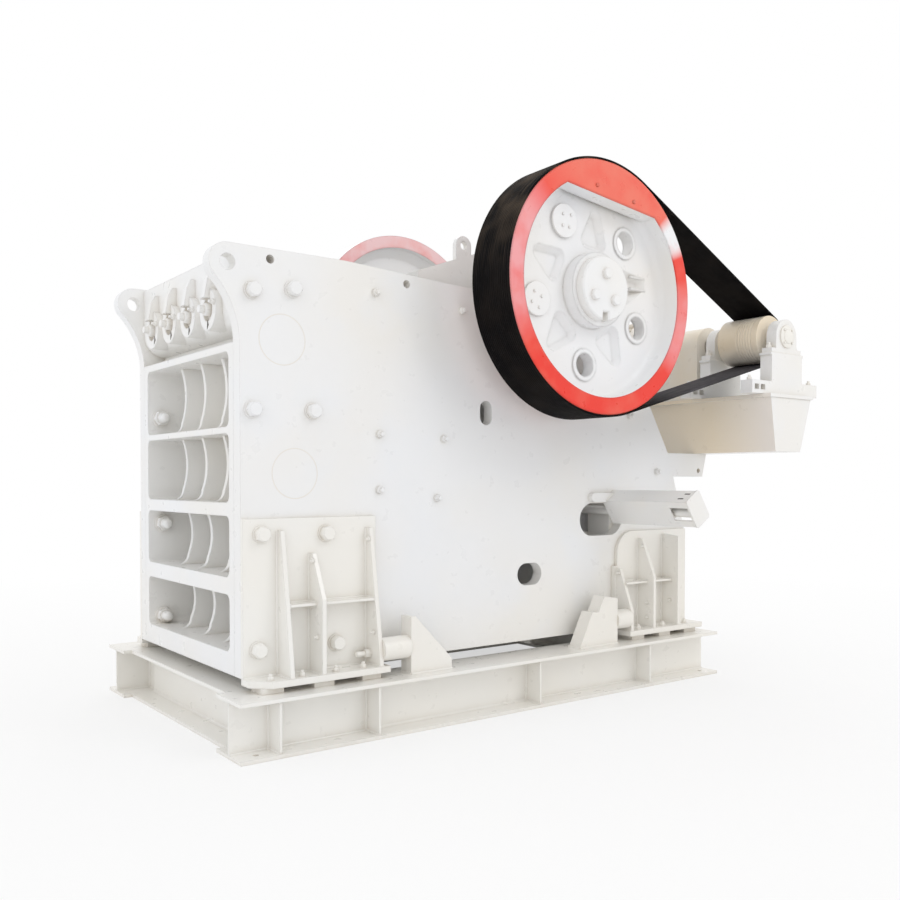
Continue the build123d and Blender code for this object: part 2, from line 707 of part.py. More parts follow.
# Stops welded on the base, which hold the brackets through round buffers
buffer_z = BEAM_HEIGHT + BUFFER_RISE
front_buffer_start = frame_front + FRONT_RIB_PLACES[-1] + RIB_THICK / 2
front_stop_x = front_buffer_start + FRONT_BUFFER
rear_buffer_end = rear_bracket_start + REAR_RIB_PLACES[0] - RIB_THICK / 2
rear_stop_x = rear_buffer_end - REAR_BUFFER
stop_outer = plate_outer + BRACKET_REACH
with BuildPart() as base_stops:
    with BuildSketch(Plane.XZ.offset(stop_outer - STOP_WIDTH)):
        with BuildLine():
            stop_top = BEAM_HEIGHT + FRONT_STOP_HEIGHT
            Polyline((front_stop_x, BEAM_HEIGHT),
                     (front_stop_x, stop_top),
                     (front_stop_x + STOP_PLATE, stop_top),
                     (front_stop_x + FRONT_STOP_FOOT, BEAM_HEIGHT + 2 * STOP_PLATE),
                     (front_stop_x + FRONT_STOP_FOOT, BEAM_HEIGHT),
                     (front_stop_x, BEAM_HEIGHT))
        make_face()
        with BuildLine():
            corners = [(rear_stop_x - back, BEAM_HEIGHT + rise)
                       for back, rise in (REAR_STOP_LEDGE, REAR_STOP_NOTCH, REAR_STOP_HEAD)]
            Polyline((rear_stop_x - REAR_STOP_FOOT, BEAM_HEIGHT),
                     *corners,
                     (rear_stop_x, BEAM_HEIGHT + REAR_STOP_HEIGHT),
                     (rear_stop_x, BEAM_HEIGHT),
                     (rear_stop_x - REAR_STOP_FOOT, BEAM_HEIGHT))
        make_face()
    extrude(amount=STOP_WIDTH)
    mirror(about=Plane.XZ)
base_stops.part.label = "base_stops"
export_step(base_stops.part, "parts/base_stops.step")

with BuildPart() as rubber_buffers:
    for start, length in ((front_buffer_start, FRONT_BUFFER), (rear_stop_x, REAR_BUFFER)):
        with BuildSketch(Plane.YZ.offset(start)):
            with Locations((STOP_WIDTH / 2 - stop_outer, buffer_z), (stop_outer - STOP_WIDTH / 2, buffer_z)):
                Circle(BUFFER_RADIUS)
        extrude(amount=length)
rubber_buffers.part.label = "rubber_buffers"
export_step(rubber_buffers.part, "parts/rubber_buffers.step")


def tooth_plane(low_x, top_x):
    """A plane across a die's foot, whose normal runs up along the die's face."""
    return Plane(origin=(low_x, 0, die_low), x_dir=(0, 1, 0), z_dir=(top_x - low_x, 0, JAW_HEIGHT))


def tooth_gaps(width, into):
    """The notches between a die's teeth, cut into the face on the given side."""
    pitch = width / TOOTH_COUNT
    mouth = pitch * TOOTH_GAP_MOUTH / 2
    floor = pitch * TOOTH_GAP_FLOOR / 2
    with GridLocations(pitch, 0, TOOTH_COUNT, 1):
        Polygon((-mouth, 0), (-floor, into * TOOTH_DEPTH), (floor, into * TOOTH_DEPTH), (mouth, 0), align=None)


# Fixed jaw die, with teeth down its face
with BuildPart() as fixed_jaw_die:
    with BuildSketch(Plane.XZ.offset(-JAW_WIDTH / 2)):
        with BuildLine():
            Polyline(
                (front_back(die_low), die_low),
                (fixed_face_low, die_low),
                (fixed_face_top, die_top),
                (front_back(die_top), die_top),
                (front_back(die_low), die_low),
            )
        make_face()
    extrude(amount=JAW_WIDTH)
    with BuildSketch(tooth_plane(fixed_face_low, fixed_face_top).offset(-DIE_THICK)):
        tooth_gaps(JAW_WIDTH, 1)
    extrude(amount=JAW_HEIGHT + 3 * DIE_THICK, mode=Mode.SUBTRACT)
fixed_jaw_die.part.label = "fixed_jaw_die"
export_step(fixed_jaw_die.part, "parts/fixed_jaw_die.step")

# Cheek plates on the side plates, beside the chamber
with BuildPart() as cheek_plates:
    with BuildSketch(Plane.XZ.offset(plate_inner - CHEEK_THICK)):
        with BuildLine():
            Polyline(
                (front_back(die_low), die_low),
                (pitman_face_low, die_low),
                (pitman_face_top, die_top),
                (front_back(die_top), die_top),
                (front_back(die_low), die_low),
            )
        make_face()
    extrude(amount=CHEEK_THICK)
    mirror(about=Plane.XZ)
cheek_plates.part.label = "cheek_plates"
export_step(cheek_plates.part, "parts/cheek_plates.step")

# Bearing housings in the half-round seats of the side plates
with BuildPart() as bearing_housing_near:
    with BuildSketch(Plane.XZ.offset(plate_inner)):
        with Locations((shaft_x, shaft_z)):
            Circle(HOUSING_RADIUS)
    extrude(amount=HOUSING_WIDTH)
    with BuildSketch(Plane.XZ.offset(plate_inner)):
        with Locations((shaft_x, shaft_z + HOUSING_FOOT_HEIGHT / 2)):
            Rectangle(2 * (HOUSING_RADIUS + HOUSING_FOOT_REACH), HOUSING_FOOT_HEIGHT)
    extrude(amount=PLATE_THICK)
    with BuildSketch(Plane.XZ.offset(plate_inner + HOUSING_WIDTH)):
        with Locations((shaft_x, shaft_z)):
            Circle(HOUSING_CAP_RADIUS)
    extrude(amount=HOUSING_CAP_THICK)
    with BuildSketch(Plane.XZ.offset(plate_inner)):
        with Locations((shaft_x, shaft_z)):
            Circle(SHAFT_RADIUS + FIT)
    extrude(amount=HOUSING_WIDTH + HOUSING_CAP_THICK, mode=Mode.SUBTRACT)
bearing_housing_near.part.label = "bearing_housing_near"
export_step(bearing_housing_near.part, "parts/bearing_housing_near.step")

with BuildPart() as bearing_housing_far:
    mirror(bearing_housing_near.part, about=Plane.XZ)
bearing_housing_far.part.label = "bearing_housing_far"
export_step(bearing_housing_far.part, "parts/bearing_housing_far.step")

# Eccentric shaft, thicker and off centre where the pitman hangs
with BuildPart() as eccentric_shaft:
    with BuildSketch(Plane.XZ.offset(-collar_y)):
        with Locations((shaft_x, shaft_z)):
            Circle(SHAFT_RADIUS)
    extrude(amount=2 * collar_y)
    with BuildSketch(Plane.XZ.offset(-pitman_half)):
        with Locations((shaft_x, pin_z)):
            Circle(ECCENTRIC_RADIUS)
    extrude(amount=2 * pitman_half)
eccentric_shaft.part.label = "eccentric_shaft"
export_step(eccentric_shaft.part, "parts/eccentric_shaft.step")

# Flywheels: a rim and hub on a web with five holes, valleys between them,
# and a counterweight across the top of the rim
wheel_section = Plane(origin=(shaft_x, 0, shaft_z), x_dir=(1, 0, 0), z_dir=(0, 0, 1))
wheel_axis = Axis((shaft_x, 0, shaft_z), (0, 1, 0))
with BuildPart() as drive_flywheel:
    with BuildSketch(wheel_section):
        with BuildLine():
            web_back_y = web_face_y - WHEEL_WEB
            Polyline(
                (WHEEL_RING_INNER, -web_face_y - WHEEL_FILLET),
                (WHEEL_RING_INNER, -wheel_face_y),
                (WHEEL_RADIUS - WHEEL_BEVEL, -wheel_face_y),
                (WHEEL_RADIUS, WHEEL_BEVEL - wheel_face_y),
                (WHEEL_RADIUS, -wheel_inner_y),
                (WHEEL_RING_BACK, -wheel_inner_y),
                (WHEEL_RING_BACK, WHEEL_BACK_BEVEL - web_back_y),
                (WHEEL_RING_BACK - WHEEL_BACK_BEVEL, -web_back_y),
                (WHEEL_HUB_RADIUS, -web_back_y),
                (WHEEL_HUB_RADIUS, -wheel_inner_y),
                (SHAFT_RADIUS, -wheel_inner_y),
                (SHAFT_RADIUS, -collar_y),
                (WHEEL_COLLAR_RADIUS, -collar_y),
                (WHEEL_COLLAR_RADIUS, -web_face_y),
                (WHEEL_RING_INNER - WHEEL_FILLET, -web_face_y),
            )
            turns = [index * 90 / WHEEL_FILLET_FLATS for index in range(WHEEL_FILLET_FLATS + 1)]
            Polyline(*[(WHEEL_RING_INNER - WHEEL_FILLET + WHEEL_FILLET * sin(radians(turn)),
                        WHEEL_FILLET * cos(radians(turn)) - web_face_y - WHEEL_FILLET) for turn in turns])
        make_face()
    revolve(axis=wheel_axis)
    with BuildSketch(Plane.XZ.offset(web_face_y)):
        with Locations((shaft_x, shaft_z)):
            with PolarLocations(0, LOBE_COUNT, start_angle=LOBE_ANGLE + 180 / LOBE_COUNT):
                Polygon((VALLEY_INNER, -VALLEY_HALF), (VALLEY_OUTER, 0), (VALLEY_INNER, VALLEY_HALF),
                        align=None)
        fillet(vertices(), VALLEY_FILLET)
    extrude(amount=-VALLEY_DEPTH, taper=VALLEY_SLOPE, mode=Mode.SUBTRACT)
    with BuildSketch(Plane.XZ.offset(web_face_y)):
        with Locations((shaft_x, shaft_z)):
            with PolarLocations(LOBE_RADIUS, LOBE_COUNT, start_angle=LOBE_ANGLE):
                Circle(LOBE_LIP)
    extrude(amount=LOBE_LIP_THICK)
    with BuildSketch(Plane.XZ.offset(wheel_inner_y)):
        with Locations((shaft_x, shaft_z)):
            with PolarLocations(LOBE_RADIUS, LOBE_COUNT, start_angle=LOBE_ANGLE):
                Circle(LOBE_HOLE)
    extrude(amount=WHEEL_WIDTH, mode=Mode.SUBTRACT)
    with BuildSketch(Plane.XZ.offset(wheel_face_y - WEIGHT_THICK)):
        with Locations((shaft_x, shaft_z)):
            Circle(WHEEL_RING_INNER + WHEEL_BEVEL)
            with PolarLocations(WEIGHT_CHORD - WHEEL_RADIUS, 1, start_angle=WEIGHT_ANGLE):
                Rectangle(2 * WHEEL_RADIUS, 2 * WHEEL_RADIUS, mode=Mode.SUBTRACT)
    extrude(amount=WEIGHT_THICK)
drive_flywheel.part.label = "drive_flywheel"
export_step(drive_flywheel.part, "parts/drive_flywheel.step")

with BuildPart() as balance_flywheel:
    mirror(drive_flywheel.part, about=Plane.XZ)
balance_flywheel.part.label = "balance_flywheel"
export_step(balance_flywheel.part, "parts/balance_flywheel.step")

# Round covers over two of the holes in each wheel
with BuildPart() as wheel_covers:
    with BuildSketch(Plane.XZ.offset(web_face_y + LOBE_LIP_THICK)):
        with Locations((shaft_x, shaft_z)):
            with PolarLocations(LOBE_RADIUS, 2, start_angle=LOBE_ANGLE + 360 / LOBE_COUNT,
                                angular_range=720 / LOBE_COUNT):
                Circle(LOBE_LIP)
    extrude(amount=LOBE_COVER_THICK)
    mirror(about=Plane.XZ)
wheel_covers.part.label = "wheel_covers"
export_step(wheel_covers.part, "parts/wheel_covers.step")

# Covers on the shaft's ends, notched at the key
with BuildPart() as hub_covers:
    with BuildSketch(Plane.XZ.offset(collar_y)):
        with Locations((shaft_x, shaft_z)):
            Circle(HUB_COVER_RADIUS)
        with Locations((shaft_x, shaft_z - HUB_COVER_RADIUS)):
            Rectangle(KEY_WIDTH, 2 * KEY_DEPTH, mode=Mode.SUBTRACT)
    extrude(amount=WHEEL_COLLAR_RECESS)
    chamfer(hub_covers.faces().sort_by(Axis.Y)[0].edges(), HUB_COVER_BEVEL)
    mirror(about=Plane.XZ)
hub_covers.part.label = "hub_covers"
export_step(hub_covers.part, "parts/hub_covers.step")

# Pitman: a barrel round the eccentric, a sloping nose over the feed, the
# swing jaw below and a seat for the toggle plate at its foot
nose = (pitman_face_top - DIE_THICK, die_top + PITMAN_NOSE_RISE)
nose_span = hypot(shaft_x - nose[0], pin_z - nose[1])
nose_rise = atan2(pin_z - nose[1], shaft_x - nose[0]) + asin(PITMAN_BARREL / nose_span)
nose_run = sqrt(nose_span ** 2 - PITMAN_BARREL ** 2)
crown = (nose[0] + nose_run * cos(nose_rise), nose[1] + nose_run * sin(nose_rise))
heel = (shaft_x + PITMAN_BARREL * cos(radians(PITMAN_HEEL_ANGLE)),
        pin_z + PITMAN_BARREL * sin(radians(PITMAN_HEEL_ANGLE)))
with BuildPart() as pitman:
    with BuildSketch(Plane.XZ.offset(-pitman_half)):
        with Locations((shaft_x, pin_z)):
            Circle(PITMAN_BARREL)
        with BuildLine():
            Polyline(
                crown,
                nose,
                (pitman_face_top - DIE_THICK, die_top + PITMAN_DIE_STEP),
                (pitman_face_top, die_top + PITMAN_DIE_STEP),
                (pitman_face_top, die_top),
                (pitman_face_low, die_low),
                (pitman_face_low + PITMAN_TOE, die_low - PITMAN_TOE),
                (toggle_seat_x, toggle_seat_z - TOGGLE_SEAT_HALF),
                (toggle_seat_x, toggle_seat_z + TOGGLE_SEAT_HALF),
                heel,
                crown,
            )
        make_face()
    extrude(amount=2 * pitman_half)
    bay_low = toggle_seat_z + TOGGLE_SEAT_HALF + PITMAN_BAY_WALL / 2
    bay_high = bay_low + PITMAN_BAY_HEIGHT
    bay_pitch = PITMAN_BAY_WIDTH + 2 * RIB_THICK
    for y in [bay_pitch * (index - (PITMAN_BAYS - 1) / 2) for index in range(PITMAN_BAYS)]:
        with BuildSketch(Plane.XZ.offset(-y - PITMAN_BAY_WIDTH / 2)):
            with BuildLine():
                Polyline(
                    (pitman_face(bay_low) + PITMAN_BAY_WALL, bay_low),
                    (pitman_face(bay_high) + PITMAN_BAY_WALL, bay_high),
                    (shaft_x + PITMAN_BARREL, bay_high),
                    (shaft_x + PITMAN_BARREL, bay_low),
                    (pitman_face(bay_low) + PITMAN_BAY_WALL, bay_low),
                )
            make_face()
        extrude(amount=PITMAN_BAY_WIDTH, mode=Mode.SUBTRACT)
    for start_y in (-pitman_half, pitman_half - LUG_THICK):
        with BuildSketch(Plane.XZ.offset(-start_y - LUG_THICK)):
            foot_x = nose[0] + LUG_ALONG * cos(nose_rise)
            foot_lug_z = nose[1] + LUG_ALONG * sin(nose_rise)
            lug_z = foot_lug_z + LUG_RISE
            with BuildLine():
                Polyline((foot_x + 2 * LUG_RADIUS, lug_z),
                         (foot_x + 2 * LUG_RADIUS, foot_lug_z),
                         (foot_x, foot_lug_z - LUG_RADIUS),
                         (foot_x, lug_z))
                ThreePointArc((foot_x, lug_z), (foot_x + LUG_RADIUS, lug_z + LUG_RADIUS),
                              (foot_x + 2 * LUG_RADIUS, lug_z))
            make_face()
            with Locations((foot_x + LUG_RADIUS, lug_z)):
                Circle(LUG_HOLE, mode=Mode.SUBTRACT)
        extrude(amount=LUG_THICK)
    with BuildSketch(Plane.XZ.offset(-pitman_half)):
        with Locations((shaft_x, pin_z)):
            Circle(ECCENTRIC_RADIUS + FIT)
    extrude(amount=2 * pitman_half, mode=Mode.SUBTRACT)
pitman.part.label = "pitman"
export_step(pitman.part, "parts/pitman.step")

# Swing jaw die on the pitman, toothed like the fixed one
with BuildPart() as moving_jaw_die:
    with BuildSketch(Plane.XZ.offset(-pitman_half)):
        with BuildLine():
            Polyline(
                (pitman_face_low - DIE_THICK, die_low),
                (pitman_face_low, die_low),
                (pitman_face_top, die_top),
                (pitman_face_top - DIE_THICK, die_top),
                (pitman_face_low - DIE_THICK, die_low),
            )
        make_face()
    extrude(amount=2 * pitman_half)
    swing_face = tooth_plane(pitman_face_low - DIE_THICK, pitman_face_top - DIE_THICK)
    with BuildSketch(swing_face.offset(-DIE_THICK)):
        tooth_gaps(2 * pitman_half, -1)
    extrude(amount=JAW_HEIGHT + 3 * DIE_THICK, mode=Mode.SUBTRACT)
moving_jaw_die.part.label = "moving_jaw_die"
export_step(moving_jaw_die.part, "parts/moving_jaw_die.step")

# Toggle plate with rounded ends, between the pitman and the wedges
toggle_start = toggle_seat_x + TOGGLE_PLAY
toggle_end = wedge_front - FIT
toggle_lean = degrees(atan2(wedge_z - toggle_seat_z, toggle_end - toggle_start - TOGGLE_THICK))
with BuildPart() as toggle_plate:
    with BuildSketch(Plane.XZ.offset(-toggle_half)):
        with BuildLine():
            toggle_line = Line((toggle_start + TOGGLE_THICK / 2, toggle_seat_z),
                               (toggle_end - TOGGLE_THICK / 2, wedge_z))
        with Locations(toggle_line @ 0.5):
            SlotCenterToCenter(toggle_line.length, TOGGLE_THICK, rotation=toggle_lean)
    extrude(amount=2 * toggle_half)
toggle_plate.part.label = "toggle_plate"
export_step(toggle_plate.part, "parts/toggle_plate.step")

# The pair of wedges that set the jaw, each thicker towards its own side
with BuildPart() as toggle_wedges:
    slope_near = wedge_front + WEDGE_THIN
    slope_far = load_wall_x - WEDGE_THIN
    with BuildSketch(Plane.XY.offset(wedge_z - WEDGE_HEIGHT / 2)):
        with BuildLine():
            Polyline((wedge_front, -toggle_half), (slope_near - FIT, -toggle_half),
                     (slope_far - FIT, toggle_half), (wedge_front, toggle_half),
                     (wedge_front, -toggle_half))
        make_face()
        with BuildLine():
            Polyline((slope_near, -toggle_half), (load_wall_x, -toggle_half),
                     (load_wall_x, toggle_half), (slope_far, toggle_half),
                     (slope_near, -toggle_half))
        make_face()
    extrude(amount=WEDGE_HEIGHT)
toggle_wedges.part.label = "toggle_wedges"
export_step(toggle_wedges.part, "parts/toggle_wedges.step")

# Covers over the wedge cylinders: a channel open below, closed by an end
# plate, with a lug that bolts to the side plate above the wedge opening
cover_x = port_x + COVER_BEHIND
cover_z = wedge_z + COVER_RISE
cover_section = Plane(origin=(cover_x, -plate_outer, cover_z), z_dir=(0, -1, 0),
                      x_dir=(cos(radians(COVER_TILT)), 0, sin(radians(COVER_TILT))))
with BuildPart() as wedge_cover_near:
    with BuildSketch(cover_section):
        Rectangle(COVER_WIDE, COVER_TALL)
        with Locations((0, -COVER_PLATE)):
            Rectangle(COVER_WIDE - 2 * COVER_PLATE, COVER_TALL, mode=Mode.SUBTRACT)
    extrude(amount=COVER_REACH)
    with BuildSketch(cover_section.offset(COVER_REACH - COVER_WINDOW - COVER_WINDOW_INSET)):
        with Locations((-COVER_WIDE / 2, 0)):
            Rectangle(4 * COVER_PLATE, COVER_WINDOW_TALL)
    extrude(amount=COVER_WINDOW, mode=Mode.SUBTRACT)
    with BuildSketch(cover_section.offset(COVER_REACH)):
        Rectangle(COVER_WIDE + 2 * COVER_PLATE, COVER_TALL + 2 * COVER_PLATE)
        chamfer(vertices(), COVER_END_CORNER)
    extrude(amount=COVER_PLATE)
    with BuildSketch(Plane.XZ.offset(plate_outer)):
        lug_x = cover_x - COVER_WIDE
        lug_z = wedge_z + WEDGE_PORT_HEIGHT / 2 + COVER_LUG_WIDE / 2 + COVER_PLATE
        with Locations((lug_x, lug_z)):
            SlotOverall(COVER_LUG_LENGTH, COVER_LUG_WIDE)
    extrude(amount=COVER_LUG_THICK)
wedge_cover_near.part.label = "wedge_cover_near"
export_step(wedge_cover_near.part, "parts/wedge_cover_near.step")

with BuildPart() as wedge_cover_far:
    mirror(wedge_cover_near.part, about=Plane.XZ)
wedge_cover_far.part.label = "wedge_cover_far"
export_step(wedge_cover_far.part, "parts/wedge_cover_far.step")

# Wedge cylinders, from the wedges through the side plates to the covers' ends
with BuildPart() as wedge_cylinders:
    with BuildSketch(Plane.XZ.offset(toggle_half)):
        with Locations((cover_x, cover_z - CYLINDER_DROP)):
            Circle(ROD_RADIUS)
    extrude(amount=plate_outer + COVER_REACH - toggle_half)
    with BuildSketch(Plane.XZ.offset(plate_outer + CYLINDER_START)):
        with Locations((cover_x, cover_z - CYLINDER_DROP)):
            Circle(CYLINDER_RADIUS)
    extrude(amount=COVER_REACH - 2 * CYLINDER_START)
    mirror(about=Plane.XZ)
wedge_cylinders.part.label = "wedge_cylinders"
export_step(wedge_cylinders.part, "parts/wedge_cylinders.step")

# Motor base, a tapered box across the back of the frame under a flat plate
plate_low = trough_top - TROUGH_PLATE
trough_length = TROUGH_FAR_Y - TROUGH_NEAR_Y
with BuildPart() as motor_base:
    with BuildSketch(Plane.XZ.offset(-TROUGH_FAR_Y)):
        with BuildLine():
            Polyline(
                (trough_front + TROUGH_LEAN_FRONT, trough_bottom),
                (trough_rear - TROUGH_LEAN_REAR, trough_bottom),
                (trough_rear, plate_low),
                (trough_front, plate_low),
                (trough_front + TROUGH_LEAN_FRONT, trough_bottom),
            )
        make_face()
    extrude(amount=trough_length)
    with BuildSketch(Plane.XY.offset(plate_low)):
        with Locations(((trough_front + trough_rear) / 2, (TROUGH_NEAR_Y + TROUGH_FAR_Y) / 2)):
            Rectangle(TROUGH_TOP_WIDTH + 2 * TROUGH_PLATE_EDGE, trough_length + TROUGH_PLATE_EDGE)
    extrude(amount=TROUGH_PLATE)
motor_base.part.label = "motor_base"
export_step(motor_base.part, "parts/motor_base.step")

# Arms that carry the motor base: a lug below it on each side plate, and a
# gusset from the rear frame to its front side
with BuildPart() as motor_base_arms:
    lug_low = trough_bottom - ARM_LUG_DROP
    lug_end = trough_front + TROUGH_LEAN_FRONT + ARM_LUG_REACH
    for start_y in (-plate_outer, plate_inner):
        with BuildSketch(Plane.XZ.offset(-start_y - PLATE_THICK)):
            with BuildLine():
                Polyline((rear_edge(lug_low), lug_low),
                         (lug_end - ARM_LUG_SLOPE, lug_low),
                         (lug_end, trough_bottom),
                         (rear_edge(trough_bottom), trough_bottom),
                         plate_knee,
                         (rear_edge(lug_low), lug_low))
            make_face()
            with Locations((lug_end - 2 * ARM_LUG_SLOPE, lug_low + ARM_LUG_SLOPE)):
                Circle(ARM_LUG_HOLE, mode=Mode.SUBTRACT)
        extrude(amount=PLATE_THICK)
    for start_y in (-ARM_GUSSET_Y - ARM_GUSSET_THICK, ARM_GUSSET_Y):
        with BuildSketch(Plane.XZ.offset(-start_y - ARM_GUSSET_THICK)):
            with BuildLine():
                Polyline((rear_edge(trough_bottom), trough_bottom),
                         (trough_front + TROUGH_LEAN_FRONT, trough_bottom),
                         (trough_front, plate_low),
                         (rear_edge(rear_top_z), rear_top_z),
                         (rear_edge(trough_bottom), trough_bottom))
            make_face()
        extrude(amount=ARM_GUSSET_THICK)
motor_base_arms.part.label = "motor_base_arms"
export_step(motor_base_arms.part, "parts/motor_base_arms.step")

# Motor: a finned barrel between end shields, on feet, with a terminal box
with BuildPart() as motor:
    with BuildSketch(Plane.XZ.offset(-MOTOR_FAR_Y)):
        with Locations((motor_x, motor_z)):
            Circle(MOTOR_RADIUS)
    extrude(amount=MOTOR_FAR_Y - MOTOR_NEAR_Y)
    with BuildSketch(Plane.XZ.offset(MOTOR_SHIELD - MOTOR_FAR_Y)):
        with Locations((motor_x, motor_z)):
            with PolarLocations(MOTOR_RADIUS, MOTOR_FIN_COUNT):
                Rectangle(2 * MOTOR_FIN_HEIGHT, MOTOR_FIN_THICK)
    extrude(amount=MOTOR_FAR_Y - MOTOR_NEAR_Y - 2 * MOTOR_SHIELD)
    for start_y in (MOTOR_NEAR_Y, MOTOR_FAR_Y - MOTOR_SHIELD):
        with BuildSketch(Plane.XZ.offset(-start_y - MOTOR_SHIELD)):
            with Locations((motor_x, motor_z)):
                Circle(MOTOR_SHIELD_RADIUS)
        extrude(amount=MOTOR_SHIELD)
    motor_middle = (MOTOR_NEAR_Y + MOTOR_FAR_Y) / 2
    with Locations((motor_x, motor_middle, trough_top + MOTOR_FOOT_THICK / 2)):
        Box(MOTOR_FOOT_WIDTH, MOTOR_FOOT_LENGTH, MOTOR_FOOT_THICK)
    with Locations((motor_x, motor_middle, (trough_top + motor_z) / 2)):
        Box(MOTOR_RADIUS, MOTOR_FOOT_LENGTH, motor_z - trough_top)
    with Locations((motor_x + MOTOR_BOX_REACH / 2, motor_middle, motor_z)):
        Box(MOTOR_BOX_REACH, MOTOR_BOX, MOTOR_BOX)
    with BuildSketch(Plane.XZ.offset(-MOTOR_NEAR_Y)):
        with Locations((motor_x, motor_z)):
            Circle(MOTOR_SHAFT_RADIUS + FIT)
    extrude(amount=-MOTOR_SHAFT_ENTRY - MOTOR_SHAFT_ROOM, mode=Mode.SUBTRACT)
motor.part.label = "motor"
export_step(motor.part, "parts/motor.step")

# Two pulley stands, each a slotted rail, a pedestal and a bearing block
with BuildPart() as bearing_pedestals:
    block_foot_z = motor_z - BLOCK_RADIUS
    rail_top = trough_top + RAIL_HEIGHT
    for middle_y in (-OUTER_STAND_Y, -INNER_STAND_Y):
        with BuildSketch(Plane.XZ.offset(-middle_y - STAND_WIDTH / 2)):
            with Locations((motor_x + (RAIL_BEHIND - RAIL_AHEAD) / 2, trough_top + RAIL_HEIGHT / 2)):
                Rectangle(RAIL_AHEAD + RAIL_BEHIND, RAIL_HEIGHT)
            with Locations((motor_x, (rail_top + block_foot_z) / 2)):
                Rectangle(2 * STAND_HALF, block_foot_z - rail_top)
            with Locations((motor_x, block_foot_z - STAND_TOP_THICK / 2)):
                Rectangle(2 * (STAND_HALF + STAND_TOP_EDGE), STAND_TOP_THICK)
            slot_x = motor_x - RAIL_AHEAD + RAIL_SLOT_START
            with Locations((slot_x, trough_top + RAIL_HEIGHT / 2),
                           (slot_x + RAIL_SLOT_PITCH, trough_top + RAIL_HEIGHT / 2)):
                Rectangle(RAIL_SLOT, RAIL_SLOT_HEIGHT, mode=Mode.SUBTRACT)
        extrude(amount=STAND_WIDTH)
        with BuildSketch(Plane.XZ.offset(-middle_y - BLOCK_WIDTH / 2)):
            with Locations((motor_x, motor_z)):
                Circle(BLOCK_RADIUS)
            with Locations((motor_x, block_foot_z + BLOCK_FOOT_HEIGHT / 2)):
                Rectangle(2 * BLOCK_FOOT_HALF, BLOCK_FOOT_HEIGHT)
            with Locations((motor_x, (block_foot_z + motor_z) / 2)):
                Rectangle(2 * BLOCK_RADIUS, motor_z - block_foot_z)
            with Locations((motor_x, motor_z)):
                Circle(MOTOR_SHAFT_RADIUS + FIT, mode=Mode.SUBTRACT)
        extrude(amount=BLOCK_WIDTH)
bearing_pedestals.part.label = "bearing_pedestals"
export_step(bearing_pedestals.part, "parts/bearing_pedestals.step")

# Motor pulley, grooved at its middle, on the shaft between its bearings
pulley_section = Plane(origin=(motor_x, 0, motor_z), x_dir=(1, 0, 0), z_dir=(0, 0, 1))
shaft_near = -OUTER_STAND_Y - STAND_WIDTH / 2
shaft_far = MOTOR_NEAR_Y + MOTOR_SHAFT_ENTRY
groove_y = -wheel_inner_y - GROOVE_START
groove_points = []
for index in range(GROOVE_COUNT):
    groove_points.append((PULLEY_RADIUS, groove_y - index * GROOVE_PITCH))
    groove_points.append((PULLEY_RADIUS - GROOVE_DEPTH, groove_y - index * GROOVE_PITCH - GROOVE_PITCH / 2))
with BuildPart() as motor_pulley:
    with BuildSketch(pulley_section):
        with BuildLine():
            Polyline(
                (0, shaft_far),
                (MOTOR_SHAFT_RADIUS, shaft_far),
                (MOTOR_SHAFT_RADIUS, -wheel_inner_y),
                (PULLEY_RADIUS, -wheel_inner_y),
                *groove_points,
                (PULLEY_RADIUS, groove_y - GROOVE_COUNT * GROOVE_PITCH),
                (PULLEY_RADIUS, -wheel_face_y),
                (MOTOR_SHAFT_RADIUS, -wheel_face_y),
                (MOTOR_SHAFT_RADIUS, shaft_near),
                (0, shaft_near),
                (0, shaft_far),
            )
        make_face()
    revolve(axis=Axis((motor_x, 0, motor_z), (0, 1, 0)))
motor_pulley.part.label = "motor_pulley"
export_step(motor_pulley.part, "parts/motor_pulley.step")

# Coupling halves on the motor's and the pulley's shafts
with BuildPart() as coupling:
    for y in COUPLING_YS:
        with BuildSketch(Plane.XZ.offset(-y - COUPLING_HALF / 2)):
            with Locations((motor_x, motor_z)):
                Circle(COUPLING_RADIUS)
                Circle(MOTOR_SHAFT_RADIUS, mode=Mode.SUBTRACT)
        extrude(amount=COUPLING_HALF)
coupling.part.label = "coupling"
export_step(coupling.part, "parts/coupling.step")

# Guard over the coupling, an arch of sheet with a plate at its bearing end
with BuildPart() as coupling_guard:
    guard_length = GUARD_NEAR - GUARD_FAR
    for radius, depth, mode in ((GUARD_RADIUS, guard_length, Mode.ADD),
                                (GUARD_RADIUS - GUARD_SHEET, guard_length - GUARD_SHEET, Mode.SUBTRACT)):
        with BuildSketch(Plane.XZ.offset(GUARD_FAR)):
            with Locations((motor_x, motor_z)):
                Circle(radius)
            with Locations((motor_x, (trough_top + motor_z) / 2)):
                Rectangle(2 * radius, motor_z - trough_top)
        extrude(amount=depth, mode=mode)
    with BuildSketch(Plane.XZ.offset(GUARD_FAR)):
        with Locations((motor_x, motor_z)):
            Circle(MOTOR_SHAFT_RADIUS + GUARD_SHAFT_GAP)
    extrude(amount=guard_length, mode=Mode.SUBTRACT)
coupling_guard.part.label = "coupling_guard"
export_step(coupling_guard.part, "parts/coupling_guard.step")


def belt_loop(offset):
    """A loop round both wheels, at a distance off their rims."""
    run_x = motor_x - shaft_x
    run_z = motor_z - shaft_z
    line = degrees(atan2(run_z, run_x))
    big = WHEEL_RADIUS + offset
    small = PULLEY_RADIUS + offset
    lean = degrees(asin((big - small) / hypot(run_x, run_z)))
    start = line + 90 - lean
    wheel_wrap = CenterArc((shaft_x, shaft_z), big, start, 180 + 2 * lean)
    pulley_wrap = CenterArc((motor_x, motor_z), small, start, -(180 - 2 * lean))
    Line(wheel_wrap @ 0, pulley_wrap @ 0)
    Line(wheel_wrap @ 1, pulley_wrap @ 1)


